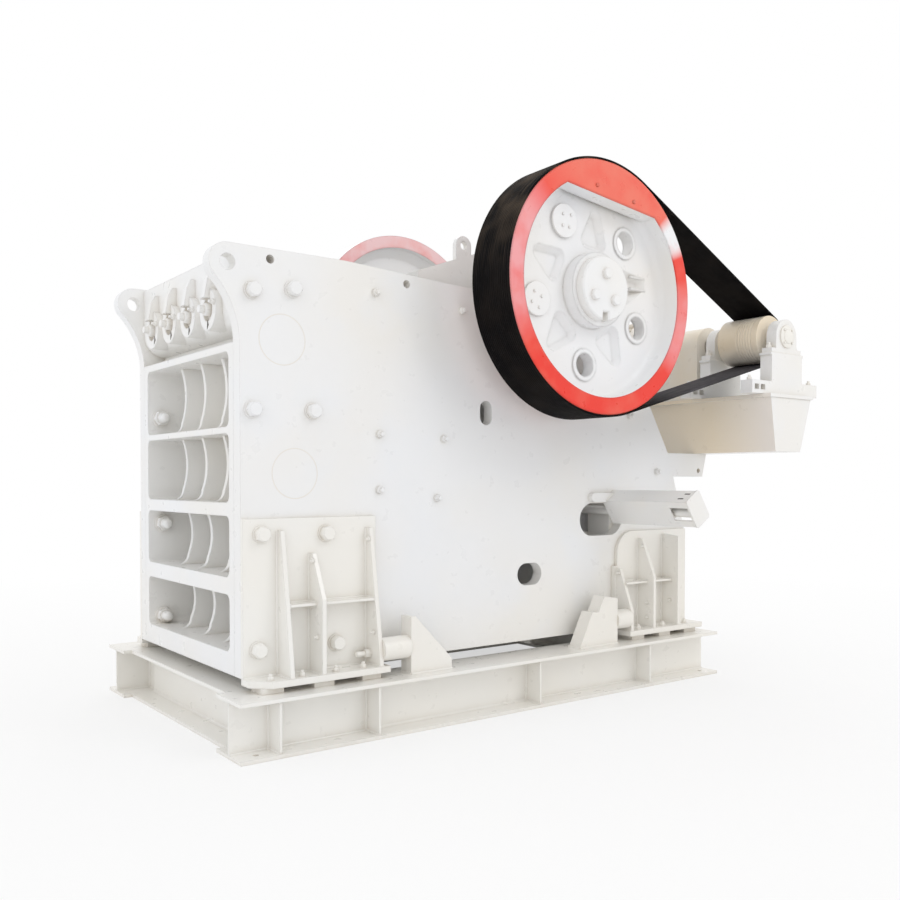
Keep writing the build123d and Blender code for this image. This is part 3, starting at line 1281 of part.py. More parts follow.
# Drive belt, one flat loop
belt_y = (wheel_inner_y + wheel_face_y) / 2 - BELT_WIDTH / 2
with BuildPart() as drive_belt:
    for offset_out, mode in ((FIT + BELT_THICK, Mode.ADD), (FIT, Mode.SUBTRACT)):
        with BuildSketch(Plane.XZ.offset(belt_y)):
            with BuildLine():
                belt_loop(offset_out)
            make_face()
        extrude(amount=BELT_WIDTH, mode=mode)
drive_belt.part.label = "drive_belt"
export_step(drive_belt.part, "parts/drive_belt.step")
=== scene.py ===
"""The look of a jaw crusher: enamel, bolts, weld beads, belt ribs and light round its frame.

Metres, in the frame's own axes: +X from the jaws to the motor, +Y away from the belt side, +Z up.
Near is the belt side (-Y), far is the plain flywheel side (+Y).
"""

import json
import random
from math import acos, atan2, cos, hypot, pi, radians, sin, tau

import bmesh
import bpy
from mathutils import Matrix, Vector
from mathutils.bvhtree import BVHTree


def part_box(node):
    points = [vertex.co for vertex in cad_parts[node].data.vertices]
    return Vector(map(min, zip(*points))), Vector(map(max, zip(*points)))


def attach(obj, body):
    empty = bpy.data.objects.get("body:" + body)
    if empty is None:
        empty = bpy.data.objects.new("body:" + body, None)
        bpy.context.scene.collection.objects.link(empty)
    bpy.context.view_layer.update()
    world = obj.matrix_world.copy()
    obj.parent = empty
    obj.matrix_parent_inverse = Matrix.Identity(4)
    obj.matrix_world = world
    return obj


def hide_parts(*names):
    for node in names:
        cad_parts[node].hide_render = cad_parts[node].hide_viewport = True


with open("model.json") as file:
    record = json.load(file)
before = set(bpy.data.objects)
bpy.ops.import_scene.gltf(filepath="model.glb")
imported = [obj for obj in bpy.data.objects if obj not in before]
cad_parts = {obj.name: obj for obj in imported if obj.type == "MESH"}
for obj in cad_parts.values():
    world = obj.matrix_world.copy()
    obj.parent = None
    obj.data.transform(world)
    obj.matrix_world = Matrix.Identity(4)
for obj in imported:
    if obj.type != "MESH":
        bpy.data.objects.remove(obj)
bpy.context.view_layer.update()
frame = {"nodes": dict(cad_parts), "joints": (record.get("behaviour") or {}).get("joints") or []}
random.seed(11)

NEAR, FAR = -1, 1
SIDES = {"near": NEAR, "far": FAR}


def low(node):
    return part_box(node)[0]


def high(node):
    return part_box(node)[1]


# Places read from the frame
joint_at = {joint["name"]: Vector(joint["pos_m"]) for joint in frame["joints"]}
SHAFT = joint_at["main_shaft_spin"]
MOTOR = joint_at["motor_pulley_spin"]
FRONT_X = low("front_bracket_near").x
PLATE_OUT = -low("side_plate_near").y
PLATE_TOP = high("side_plate_near").z
WHEEL_FACE = -low("drive_flywheel").y
WHEEL_BACK = -high("drive_flywheel").y
WHEEL_RADIUS = (high("drive_flywheel").x - low("drive_flywheel").x) / 2
PULLEY_RADIUS = (high("motor_pulley").z - low("motor_pulley").z) / 2

# Colours
WHITE = (0.85, 0.853, 0.862, 1)
WHITE_WARM = (0.85, 0.832, 0.80, 1)
WHITE_COOL = (0.825, 0.845, 0.88, 1)
IVORY = (0.865, 0.855, 0.825, 1)
IVORY_WARM = (0.865, 0.835, 0.775, 1)
CREAM = (0.86, 0.755, 0.60, 1)
CREAM_WARM = (0.84, 0.70, 0.50, 1)
# The trough's painted shade, cream to tan
TROUGH_SHADE_CREAM = (0.88, 0.82, 0.76, 1)
TROUGH_SHADE_TAN = (0.90, 0.77, 0.58, 1)
# Painted warm shade tint for hollows
HOLLOW_SHADE_TONE = (0.90, 0.885, 0.845, 1)
RING_TONE = (0.80, 0.765, 0.72, 1)
# Dirt and painted shade in tight corners
GRIME_SHADE = (0.52, 0.43, 0.31, 1)
PRIMER = (0.45, 0.40, 0.35, 1)
RED = (0.84, 0.030, 0.012, 1)
RED_PALE = (0.86, 0.20, 0.13, 1)
PINK = (0.86, 0.40, 0.42, 1)
# A painted pale highlight on the rings behind the rims
BACK_RIM_HIGHLIGHT = (0.88, 0.66, 0.68, 1)
# Painted shade for seams, slots and gaps, mottled
GAP_SHADE_BLACK = (0.035, 0.030, 0.026, 1)
GAP_SHADE_MOTTLE = (0.09, 0.07, 0.055, 1)
RUBBER = (0.0035, 0.003, 0.0035, 1)
RUBBER_DUST = (0.12, 0.09, 0.065, 1)
# A painted grey sheen on the belt's lower run
RUBBER_SHEEN_GREY = (0.085, 0.080, 0.088, 1)
CAST_STEEL = (0.16, 0.15, 0.145, 1)
CAST_RUST = (0.17, 0.09, 0.05, 1)
TURNED_STEEL = (0.42, 0.42, 0.43, 1)
TURNED_RUST = (0.2, 0.12, 0.07, 1)

# How round the painted edges look
EDGE_ROUND = 0.004
CAST_ROUND = 0.010
WHEEL_ROUND = 0.022
RING_ROUND = 0.0001

# Where the wheels are red: this deep from each face, and behind from this radius out
RED_EDGE_DEPTH = 0.0075
RING_BACK = 0.672
# The rim's painted highlights and reflections: degrees from the shaft seen from the belt side, half width,
# colour, strength
RIM_HIGHLIGHTS = ((80, 62, RED_PALE, 0.75), (172, 40, PINK, 0.85), (345, 26, PINK, 0.6), (33, 11, WHITE, 1.0))
# The belt is dustiest at this angle, and has a painted grey sheen on its lower run, behind these X and below
# these Z
DUST_ANGLE = 128
LOWER_RUN_X = (0.8, 1.3)
LOWER_RUN_Z = (2.32, 2.20)
# Where the painted shade on the motor's trough turns from cream to tan, across its length
TROUGH_SHADE_Y = (-1.40, -0.95)


class Tree:
    """Short calls that build the nodes of one material or world."""

    def __init__(self, owner):
        self.owner = owner
        owner.use_nodes = True
        self.nodes = owner.node_tree.nodes
        self.nodes.clear()

    def add(self, kind, inputs=(), **settings):
        node = self.nodes.new(kind)
        for key, value in settings.items():
            setattr(node, key, value)
        for key, value in dict(inputs).items():
            if isinstance(value, bpy.types.NodeSocket):
                self.owner.node_tree.links.new(value, node.inputs[key])
            else:
                node.inputs[key].default_value = value
        return node

    def place(self):
        """The place on the object, in metres, which rides with its body."""
        return self.add("ShaderNodeTexCoord").outputs["Object"]

    def vector(self, operation, first, second=(0, 0, 0), output=0):
        return self.add("ShaderNodeVectorMath", {0: first, 1: second}, operation=operation).outputs[output]

    def axes(self, vector):
        """The X, Y and Z of a vector."""
        return self.add("ShaderNodeSeparateXYZ", {0: vector}).outputs

    def noise(self, scale, detail=3, stretch=(1, 1, 1)):
        """A noise of so many lumps a metre, squeezed along each axis by stretch."""
        spread = self.add("ShaderNodeMapping", {"Vector": self.place(), "Scale": stretch}).outputs[0]
        made = self.add("ShaderNodeTexNoise", {"Vector": spread, "Scale": scale, "Detail": detail})
        return made.outputs["Fac"]

    def ramp(self, value, start, end, first=0.0, last=1.0):
        made = self.add("ShaderNodeMapRange", {"Value": value, "From Min": start, "From Max": end,
                                               "To Min": first, "To Max": last})
        return made.outputs[0]

    def maths(self, operation, first, second=0.0):
        return self.add("ShaderNodeMath", {0: first, 1: second}, operation=operation).outputs[0]

    def mix(self, factor, first, second):
        made = self.add("ShaderNodeMix", {0: factor, 6: first, 7: second}, data_type="RGBA")
        return made.outputs[2]

    def openness(self, reach, samples):
        """How open a place is to what lies within reach, from 0 in a tight corner to 1."""
        return self.add("ShaderNodeAmbientOcclusion", {"Distance": reach}, samples=samples).outputs["AO"]

    def rounded(self, radius):
        """The normal as if the edges were rounded."""
        return self.add("ShaderNodeBevel", {"Radius": radius}, samples=4).outputs[0]

    def bump(self, height, strength, distance, normal=None):
        inputs = {"Height": height, "Strength": strength, "Distance": distance}
        if normal:
            inputs["Normal"] = normal
        return self.add("ShaderNodeBump", inputs).outputs[0]

    def finish(self, **sockets):
        shader = self.add("ShaderNodeBsdfPrincipled",
                          {key.replace("_", " "): value for key, value in sockets.items()})
        self.add("ShaderNodeOutputMaterial", {"Surface": shader.outputs[0]})
        return self.owner


def paint_tree(name):
    return Tree(bpy.data.materials.new(name))


def toward(tree, angle):
    """How far a place lies towards an angle round the shaft, 1 there and -1 opposite, and its radius."""
    away = tree.vector("SUBTRACT", tree.place(), SHAFT)
    flat = tree.vector("MULTIPLY", away, (1, 0, 1))
    aim = (cos(radians(angle)), 0, sin(radians(angle)))
    along = tree.vector("DOT_PRODUCT", tree.vector("NORMALIZE", flat), aim, "Value")
    return along, tree.vector("LENGTH", flat, output="Value")


def rim_paint(tree, tone):
    """Red on the rims' outer faces and, under a painted pale highlight, on the ring behind, with painted
    highlights in places.
    """
    depth = tree.maths("ABSOLUTE", tree.axes(tree.place())[1])
    on_face = tree.maths("GREATER_THAN", depth, WHEEL_FACE - RED_EDGE_DEPTH)
    on_back = tree.maths("LESS_THAN", depth, WHEEL_BACK + RED_EDGE_DEPTH)
    radius = toward(tree, 0)[1]
    on_back = tree.maths("MULTIPLY", on_back, tree.maths("GREATER_THAN", radius, RING_BACK))
    red = tree.mix(tree.ramp(tree.noise(5, 5), 0.45, 0.75, 0.0, 0.5), RED, RED_PALE)
    smoke = tree.noise(6, 4)
    # Painted highlights and reflections at given angles round the rim
    for angle, half, colour, strength in RIM_HIGHLIGHTS:
        along = toward(tree, angle)[0]
        near = tree.ramp(along, cos(radians(half)), cos(radians(half * 0.45)), 0.0, strength)
        near = tree.maths("MULTIPLY", near, tree.ramp(smoke, 0.3, 0.55, 0.55, 1.0))
        red = tree.mix(near, red, colour)
    tone = tree.mix(on_face, tone, red)
    # The ring behind is mostly a painted pale highlight
    return tree.mix(on_back, tone, tree.mix(tree.ramp(smoke, 0.35, 0.6, 0.55, 0.85), red, BACK_RIM_HIGHLIGHT))


def trough_painted_shade(tree, tone):
    """Painted shade, cream to tan, on the faces that lean towards the jaws."""
    normal = tree.add("ShaderNodeNewGeometry").outputs["True Normal"]
    leaning = tree.ramp(tree.axes(normal)[0], -0.6, -0.9)
    across = tree.ramp(tree.axes(tree.place())[1], *TROUGH_SHADE_Y)
    return tree.mix(leaning, tone, tree.mix(across, TROUGH_SHADE_CREAM, TROUGH_SHADE_TAN))


def dirty_shaded_corners(tree, tone, grime_and_shade):
    """Dirt and painted shade in tight corners, in faint runs."""
    # Darker where a near corner hides the surface: dirt and painted shade
    corner = tree.ramp(tree.openness(0.045, 4), 0.3, 0.85, 1.0, 0.0)
    streaks = tree.ramp(tree.noise(7, 4, (1, 1, 0.16)), 0.3, 0.7, 0.3, 1.0)
    dirt_and_shade = tree.maths("MULTIPLY", tree.maths("MULTIPLY", corner, streaks), grime_and_shade)
    return tree.mix(dirt_and_shade, tone, GRIME_SHADE)


def chipped_edges(tree, tone, rounded):
    """Primer where the rounded edges are chipped."""
    flat = tree.add("ShaderNodeNewGeometry").outputs["Normal"]
    rub = tree.ramp(tree.vector("DOT_PRODUCT", rounded, flat, "Value"), 0.86, 0.99, 1.0, 0.0)
    chips = tree.ramp(tree.noise(38, 3), 0.63, 0.68, 0.0, 0.35)
    return tree.mix(tree.maths("MULTIPLY", rub, chips), tone, PRIMER)


def enamel(name, colour=WHITE, warm=WHITE_WARM, cool=WHITE_COOL, grime_and_shade=0.4, lumps=0.0, edge=EDGE_ROUND,
           coat=0.3, red=False, dust_and_shade=False):
    """Glossy paint with a painted warm shade in its hollows, dirt and painted shade in its corners, and
    chipped edges.
    """
    tree = paint_tree(name)
    tone = tree.mix(tree.ramp(tree.noise(0.8, 2), 0.38, 0.62), colour, warm)
    tone = tree.mix(tree.ramp(tree.noise(2.3, 3), 0.5, 0.72, 0.0, 0.5), tone, cool)
    if red:
        tone = rim_paint(tree, tone)
    # Painted shade on the faces of the trough that lean towards the jaws
    if dust_and_shade:
        tone = trough_painted_shade(tree, tone)
    # Painted shade: a warm cream tint where the far surroundings are hidden, none on the red wheels
    hollow_shade = tree.ramp(tree.openness(0.55, 3), 0.2, 0.8, 0.0 if red else 0.75, 0.0)
    tone = dirty_shaded_corners(tree, tree.mix(hollow_shade, tone, HOLLOW_SHADE_TONE), grime_and_shade)
    rounded = tree.rounded(edge)
    tone = chipped_edges(tree, tone, rounded)
    skin = tree.noise(260, 2)
    if lumps:
        skin = tree.maths("ADD", skin, tree.maths("MULTIPLY", tree.noise(34, 4), lumps))
    relief = tree.bump(skin, 0.12, 0.0012, rounded)
    gloss = tree.ramp(tree.noise(14, 4), 0.3, 0.7, 0.26, 0.42)
    return tree.finish(Base_Color=tone, Roughness=gloss, Coat_Weight=coat, Coat_Roughness=0.14,
                       Normal=relief)


def rubber(name, colour, dust, dust_and_shade):
    """Black rubber with dust along its ribs, thickest where the belt comes over the wheel's front, and a
    painted grey sheen on its lower run.
    """
    tree = paint_tree(name)
    cover = tree.ramp(tree.noise(5, 6), 0.45, 0.8, 0.0, dust_and_shade)
    lines = tree.ramp(tree.noise(30, 4, (0.15, 9, 0.15)), 0.5, 0.75, 0.0, dust_and_shade)
    over = tree.ramp(toward(tree, DUST_ANGLE)[0], 0.62, 0.97, 0.12, 1.0)
    cover = tree.maths("MULTIPLY", tree.maths("MAXIMUM", cover, lines), over)
    tone = tree.mix(cover, colour, dust)
    ways = tree.axes(tree.place())
    # Painted sheen: the lower run greyer, in stripes
    lower_run_sheen = tree.maths("MULTIPLY", tree.ramp(ways[0], *LOWER_RUN_X), tree.ramp(ways[2], *LOWER_RUN_Z))
    stripes = tree.ramp(tree.noise(9, 4, (0.3, 5, 0.3)), 0.3, 0.7, 0.5, 1.0)
    tone = tree.mix(tree.maths("MULTIPLY", lower_run_sheen, stripes), tone, RUBBER_SHEEN_GREY)
    relief = tree.bump(tree.noise(160, 3), 0.25, 0.001)
    gloss = tree.ramp(tree.noise(20, 3), 0.3, 0.7, 0.62, 0.8)
    return tree.finish(Base_Color=tone, Roughness=gloss, Normal=relief, Specular_IOR_Level=0.07)


def bare_metal(name, colour, rust, rusty, rough, coarse):
    """Cast or turned steel: scratched, mottled and a little rusty."""
    tree = paint_tree(name)
    bright = tuple(share * 1.5 for share in colour[:3]) + (1,)
    scratches = tree.noise(90, 3, (1, 1, 0.1))
    tone = tree.mix(tree.ramp(scratches, 0.4, 0.7, 0.0, 0.4), colour, bright)
    tone = tree.mix(tree.ramp(tree.noise(9, 6), 0.5, 0.7, 0.0, rusty), tone, rust)
    relief = tree.bump(tree.noise(coarse, 4), 0.3, 0.0015, tree.rounded(EDGE_ROUND))
    gloss = tree.ramp(scratches, 0.3, 0.7, rough, rough + 0.2)
    return tree.finish(Base_Color=tone, Metallic=0.9, Roughness=gloss, Normal=relief)


def gap_shade(name):
    """Painted shade: the near black of a seam, slot or hole's shaded inside, laid on thin pieces."""
    tree = paint_tree(name)
    tone = tree.mix(tree.ramp(tree.noise(60, 3), 0.4, 0.7, 0.0, 0.6), GAP_SHADE_BLACK, GAP_SHADE_MOTTLE)
    return tree.finish(Base_Color=tone, Roughness=tree.ramp(tree.noise(40, 2), 0.3, 0.7, 0.7, 0.9))


IVORY_PAINT = {"colour": IVORY, "warm": IVORY_WARM, "cool": WHITE_WARM}
RING_PAINT = {"colour": RING_TONE, "warm": RING_TONE, "cool": RING_TONE}
plate_paint = enamel("plate_paint")
beam_paint = enamel("beam_paint", **IVORY_PAINT, grime_and_shade=0.5)
bracket_paint = enamel("bracket_paint", **IVORY_PAINT, grime_and_shade=0.5)
# The trough's cream to tan on its jaw-facing faces is painted shade
trough_paint = enamel("trough_paint", grime_and_shade=0.5, dust_and_shade=True)
cast_paint = enamel("cast_paint", lumps=1.2, edge=CAST_ROUND)
wheel_paint = enamel("wheel_paint", lumps=0.8, grime_and_shade=0.3, edge=WHEEL_ROUND, coat=0.12, red=True)
motor_paint = enamel("motor_paint", colour=IVORY_WARM, warm=CREAM, cool=IVORY, lumps=0.8, grime_and_shade=0.6)
pulley_paint = enamel("pulley_paint", colour=CREAM, warm=CREAM_WARM, cool=CREAM, grime_and_shade=0.7)
bolt_paint = enamel("bolt_paint", grime_and_shade=0.6)
ivory_bolt_paint = enamel("ivory_bolt_paint", **IVORY_PAINT, grime_and_shade=0.7)
ring_paint = enamel("ring_paint", **RING_PAINT, grime_and_shade=0, edge=RING_ROUND)
weld_paint = enamel("weld_paint", **IVORY_PAINT, grime_and_shade=0.3, lumps=1.5)
painted_rubber = enamel("painted_rubber", **IVORY_PAINT, grime_and_shade=0.6, lumps=0.6)
belt_rubber = rubber("belt_rubber", RUBBER, RUBBER_DUST, 0.8)
wear_steel = bare_metal("wear_steel", CAST_STEEL, CAST_RUST, 0.5, 0.45, 60)
turned_steel = bare_metal("turned_steel", TURNED_STEEL, TURNED_RUST, 0.25, 0.25, 200)
# Painted shade for seams, slots and gaps
seam_shade = gap_shade("seam_shade")

node_paint = {
    "fixed_jaw_die": wear_steel, "moving_jaw_die": wear_steel, "cheek_plates": wear_steel,
    "eccentric_shaft": turned_steel, "toggle_wedges": turned_steel,
    "drive_flywheel": wheel_paint, "balance_flywheel": wheel_paint, "hub_covers": cast_paint,
    "front_frame": cast_paint, "rear_frame": cast_paint, "pitman": cast_paint, "toggle_plate": cast_paint,
    "bearing_housing_near": cast_paint, "bearing_housing_far": cast_paint,
    "front_bracket_near": bracket_paint, "front_bracket_far": bracket_paint,
    "rear_bracket_near": bracket_paint, "rear_bracket_far": bracket_paint,
    "motor": motor_paint, "coupling_guard": motor_paint, "coupling": motor_paint,
    "motor_pulley": pulley_paint, "motor_base": trough_paint, "motor_base_arms": trough_paint,
    "mount_pads": painted_rubber, "rubber_buffers": painted_rubber, "drive_belt": belt_rubber,
    "base_beam_near": beam_paint, "base_beam_far": beam_paint, "base_stops": bracket_paint,
    "base_beam_front": beam_paint, "base_beam_rear": beam_paint,
}
for name, node in frame["nodes"].items():
    node.data.materials.clear()
    node.data.materials.append(node_paint.get(name, plate_paint))


# Mesh tools
def join_rings(bm, rings, loop=False):
    """Faces between rings of as many corners, closed by caps or, in a loop, by the last and first ring."""
    pairs = list(zip(rings, rings[1:]))
    if loop:
        pairs.append((rings[-1], rings[0]))
    for ring, after in pairs:
        for step in range(len(ring)):
            beside = (step + 1) % len(ring)
            bm.faces.new((ring[step], ring[beside], after[beside], after[step]))
    if not loop:
        bm.faces.new(list(reversed(rings[0])))
        bm.faces.new(rings[-1])


def lathe(bm, matrix, profile, sides=24, loop=False):
    """Turns (radius, height, flats) rows about the matrix's Z, cut to a hexagon that wide over its flats."""
    rings = []
    for radius, height, flats in profile:
        ring = []
        for step in range(sides):
            angle = tau * step / sides
            reach = radius
            if flats:
                reach = min(radius, flats / 2 / cos((angle + pi / 6) % (pi / 3) - pi / 6))
            ring.append(bm.verts.new(matrix @ Vector((reach * cos(angle), reach * sin(angle), height))))
        rings.append(ring)
    join_rings(bm, rings, loop)


def hoop(bm, matrix, radius, thick, rise, sides, thick_sides):
    """A ring of round section about the matrix's Z."""
    section = []
    for step in range(thick_sides):
        angle = tau * step / thick_sides
        section.append((radius + thick * cos(angle), rise + thick * sin(angle), 0))
    lathe(bm, matrix, section, sides, True)


def bar(bm, matrix, length, wide, deep, chamfer):
    """A bar with chamfered top edges, its foot's middle at the matrix and its length along the X."""
    rings = []
    for rise, back in ((0, 0), (deep - chamfer, 0), (deep, chamfer)):
        half = length / 2 - back
        side = wide / 2 - back
        rings.append([bm.verts.new(matrix @ Vector((x, y, rise)))
                      for x, y in ((-half, -side), (half, -side), (half, side), (-half, side))])
    join_rings(bm, rings)


def facing(place, normal, spin=0.0):
    """A matrix at place whose Z points along normal."""
    turn = Vector(normal).to_track_quat("Z", "Y").to_matrix().to_4x4()
    return Matrix.Translation(Vector(place)) @ turn @ Matrix.Rotation(spin, 4, "Z")


def piece(name, bm, material, body, sharp=35):
    """Makes one object of the mesh, painted, riding on a body."""
    bmesh.ops.recalc_face_normals(bm, faces=bm.faces)
    mesh = bpy.data.meshes.new(name)
    bm.to_mesh(mesh)
    bm.free()
    mesh.shade_smooth()
    mesh.set_sharp_from_angle(angle=radians(sharp))
    made = bpy.data.objects.new(name, mesh)
    bpy.context.scene.collection.objects.link(made)
    made.data.materials.append(material)
    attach(made, body)
    return made


# A bolt's shape, in shares of its width across flats
HEAD = 0.6
HEAD_CORNER = 0.578
HEAD_TOP = 0.46
HEAD_CHAMFER = 0.09
WASHER_WIDE = 0.66
WASHER_THICK = 0.1
WASHER_CHAMFER = 0.2
STUD_WIDE = 0.32
STUD_TIP = 0.86
STUD_CHAMFER = 0.04


def bolt(bm, place, normal, flats, stud=0.0, head=HEAD, washer=True):
    """A chamfered hexagon head on its washer, or a nut with its stud's end standing out."""
    rise = WASHER_THICK * flats if washer else 0
    top = rise + head * flats
    corner = HEAD_CORNER * flats
    if washer:
        wide = WASHER_WIDE * flats
        bevel = WASHER_CHAMFER * rise
        profile = [(wide, 0, 0), (wide, rise - bevel, 0), (wide - bevel, rise, 0)]
    else:
        profile = [(corner, 0, flats)]
    profile += [(corner, rise, flats), (corner, top - HEAD_CHAMFER * flats, flats)]
    profile += [(HEAD_TOP * flats, top, 0)]
    if stud:
        rod = STUD_WIDE * flats
        end = top + stud
        profile += [(rod, top, 0), (rod, end - STUD_CHAMFER * flats, 0), (rod * STUD_TIP, end, 0)]
    lathe(bm, facing(place, normal, random.uniform(0, tau)), profile)


def bolts(name, places, normal, flats, body="frame", material=None, slot="white_paint", **shape):
    bm = bmesh.new()
    for place in places:
        bolt(bm, place, normal, flats, **shape)
    return piece(name, bm, material or bolt_paint, body)


# The nodes' meshes, searched for the places where bolts sit
JOIN = 0.0002
trees = {}


def solid_mesh(node):
    """A node's mesh with its split corners joined."""
    solid = bmesh.new()
    solid.from_mesh(frame["nodes"][node].data)
    bmesh.ops.remove_doubles(solid, verts=solid.verts, dist=JOIN)
    solid.normal_update()
    return solid


def seat(node, start, way):
    """The place where a line from start first meets a node."""
    if node not in trees:
        solid = solid_mesh(node)
        trees[node] = BVHTree.FromBMesh(solid)
        solid.free()
    place = trees[node].ray_cast(Vector(start), Vector(way).normalized())[0]
    if place is None:
        raise ValueError(f"nothing of {node} lies that way from {start}")
    return place


def bolts_on(name, node, starts, way, flats, **shape):
    """Bolts whose washers rest where lines from the starts meet a node."""
    outward = -Vector(way)
    return bolts(name, [seat(node, start, way) for start in starts], outward, flats, **shape)


def from_front(places, y):
    """Places at that Y from (distance behind the front brackets' front, height) pairs."""
    return [(FRONT_X + x, y, z) for x, z in places]


def round_shaft(radius, angles, y, centre=SHAFT):
    """Places at that Y, that far from a shaft's centre at those angles in radians."""
    return [(centre.x + radius * cos(angle), y, centre.z + radius * sin(angle)) for angle in angles]


# Weld beads in the inside corners of fabricated pieces, and root curves along the rolled beams
WELD_STEP = 0.008
RIPPLE = 0.16
INSIDE_ANGLE = 60
SHORTEST_WELD = 0.055
SHORTEST_FOOT = 0.03
ROLLED_LENGTH = 1.0
ROLLED_LEG = 1.8
LEG = 0.008
STAND_LEG = 0.006
STOP_LEG = 0.010
BEAD_SHARP = 50
BEAD = ((-0.15, -0.15), (1.0, -0.1), (0.82, 0.42), (0.42, 0.82), (-0.1, 1.0))
ROOT = ((-0.15, -0.15), (1.0, -0.05), (0.60, 0.09), (0.29, 0.29), (0.09, 0.60), (-0.05, 1.0))
BRACKETS = ("front_bracket_near", "front_bracket_far", "rear_bracket_near", "rear_bracket_far")
BEAMS = ("base_beam_near", "base_beam_far", "base_beam_front", "base_beam_rear")
STANDS = ("bearing_pedestals", "motor_base_arms", "wedge_cover_near", "wedge_cover_far")


def run(bm, start, end, one, other, leg, section, ripple):
    """Sweeps a section from start to end, its two legs along the directions one and other."""
    length = (end - start).length
    steps = max(2, round(length / WELD_STEP)) if ripple else 1
    rings = []
    for step in range(steps + 1):
        middle = start.lerp(end, step / steps)
        swell = 1 - ripple * (step % 2)
        rings.append([bm.verts.new(middle + (one * a + other * b) * leg * (swell if a > 0 and b > 0 else 1))
                      for a, b in section])
    join_rings(bm, rings)


def inside_corners(name, nodes, leg):
    """A bead along every long straight inside corner of the nodes."""
    bm = bmesh.new()
    for node in nodes:
        solid = solid_mesh(node)
        for edge in solid.edges:
            length = edge.calc_length()
            if len(edge.link_faces) != 2 or length < SHORTEST_WELD:
                continue
            if edge.calc_face_angle_signed(0) > -radians(INSIDE_ANGLE):
                continue
            start, end = (vert.co.copy() for vert in edge.verts)
            along = (end - start).normalized()
            legs = []
            for face in edge.link_faces:
                inward = face.calc_center_median() - (start + end) / 2
                legs.append((inward - along * inward.dot(along)).normalized())
            if length > ROLLED_LENGTH:
                run(bm, start, end, *legs, leg * ROLLED_LEG, ROOT, 0)
            else:
                run(bm, start, end, *legs, leg, BEAD, RIPPLE)
        solid.free()
    return piece(name, bm, weld_paint, "frame", sharp=BEAD_SHARP)


def over(start, end, carrier):
    """The ends of the stretch of a line that lies over a carrier's length, or nothing."""
    first, last = low(carrier).x, high(carrier).x
    if abs(end.x - start.x) < 0.001:
        return (start, end) if first < start.x < last else ()
    shares = sorted((place - start.x) / (end.x - start.x) for place in (first, last))
    shares = (max(shares[0], 0), min(shares[1], 1))
    return tuple(start.lerp(end, share) for share in shares) if shares[1] > shares[0] else ()


def foot_beads(name, node, carrier, leg):
    """Beads round the feet of a node that stands on its carrier's top."""
    bm = bmesh.new()
    height = high(carrier).z
    solid = solid_mesh(node)
    for edge in solid.edges:
        if any(abs(vert.co.z - height) > 0.001 for vert in edge.verts) or edge.calc_length() < SHORTEST_FOOT:
            continue
        walls = [face for face in edge.link_faces if abs(face.normal.z) < 0.8]
        ends = over(edge.verts[0].co, edge.verts[1].co, carrier)
        if len(walls) != 1 or len(edge.link_faces) != 2 or not ends:
            continue
        outward = Vector((walls[0].normal.x, walls[0].normal.y, 0)).normalized()
        run(bm, *ends, outward, Vector((0, 0, 1)), leg, BEAD, RIPPLE)
    solid.free()
    return piece(name, bm, weld_paint, "frame", sharp=BEAD_SHARP)


inside_corners("bracket_welds", BRACKETS, LEG)
inside_corners("base_welds", BEAMS, LEG)
inside_corners("stand_welds", STANDS, STAND_LEG)
foot_beads("stop_welds", "base_stops", "base_beam_near", STOP_LEG)
foot_beads("pedestal_welds", "bearing_pedestals", "motor_base", STAND_LEG)

# Side plates: jaw bolts, liner bolts and the faint rings of filled holes
BIG = 0.072
SMALL = 0.038
SMALL_STUD = 0.016
BIG_PLACES = ((0.069, 2.360), (0.298, 2.391), (0.068, 1.748), (0.416, 1.754))
SMALL_PLACES = ((0.815, 2.435), (0.840, 1.643), (0.838, 1.328), (1.291, 1.628), (1.241, 1.278),
                (1.424, 2.400), (2.738, 1.857), (3.183, 1.444), (2.898, 1.830))
RING_PLACES = ((0.240, 2.121), (0.311, 1.419))
RING_RADIUS = 0.136
RING_WIDE = 0.006
RING_HIGH = 0.0002
RING_SIDES = 64


def side_plate(side_name, side):
    out = (0, side, 0)
    face = side * PLATE_OUT
    bolts(f"plate_bolts_{side_name}", from_front(BIG_PLACES, face), out, BIG)
    bolts(f"liner_bolts_{side_name}", from_front(SMALL_PLACES, face), out, SMALL, stud=SMALL_STUD)
    bm = bmesh.new()
    section = [(RING_RADIUS, 0, 0), (RING_RADIUS - RING_WIDE / 3, RING_HIGH, 0),
               (RING_RADIUS - 2 * RING_WIDE / 3, RING_HIGH, 0), (RING_RADIUS - RING_WIDE, 0, 0)]
    for place in from_front(RING_PLACES, face):
        lathe(bm, facing(place, out), section, RING_SIDES, True)
    piece(f"filled_hole_rings_{side_name}", bm, ring_paint, "frame")


for side_name, side in SIDES.items():
    side_plate(side_name, side)

# Brackets: bolts through their plates, studs through their ribs and down through their feet
OUTSIDE = 1.2
BRACKET_BIG = ((0.101, 1.104), (0.080, 0.506), (0.480, 1.098), (0.540, 0.500))
REAR_BOLT = 0.05
REAR_MIDDLE = ((1.335, 0.640), (1.335, 0.860), (1.590, 0.640))
RIB_STUD = {"flats": 0.022, "stud": 0.010}
BEFORE_RIB = 0.05
FRONT_RIB_STUDS = ((-1.322, 0.843, 0.958), (-1.322, 0.889, 0.558), (-0.967, 0.876, 0.548),
                   (-0.967, 0.832, 1.060))
REAR_RIB_STUDS = ((1.256, 0.836, 0.925), (1.034, 0.822, 0.750), (1.256, 0.880, 0.536), (1.256, 0.881, 0.438),
                  (1.509, 0.866, 0.533))
TIE_PLACE = (-1.02, 0.825, 0.425)
TIE_NUT = 0.045
TIE_END = 0.055
TIE_LOCK_NUT = 0.030
TIE_LOCK_HEAD = 0.9
FOOT_BOLT = {"flats": 0.03, "stud": 0.012}
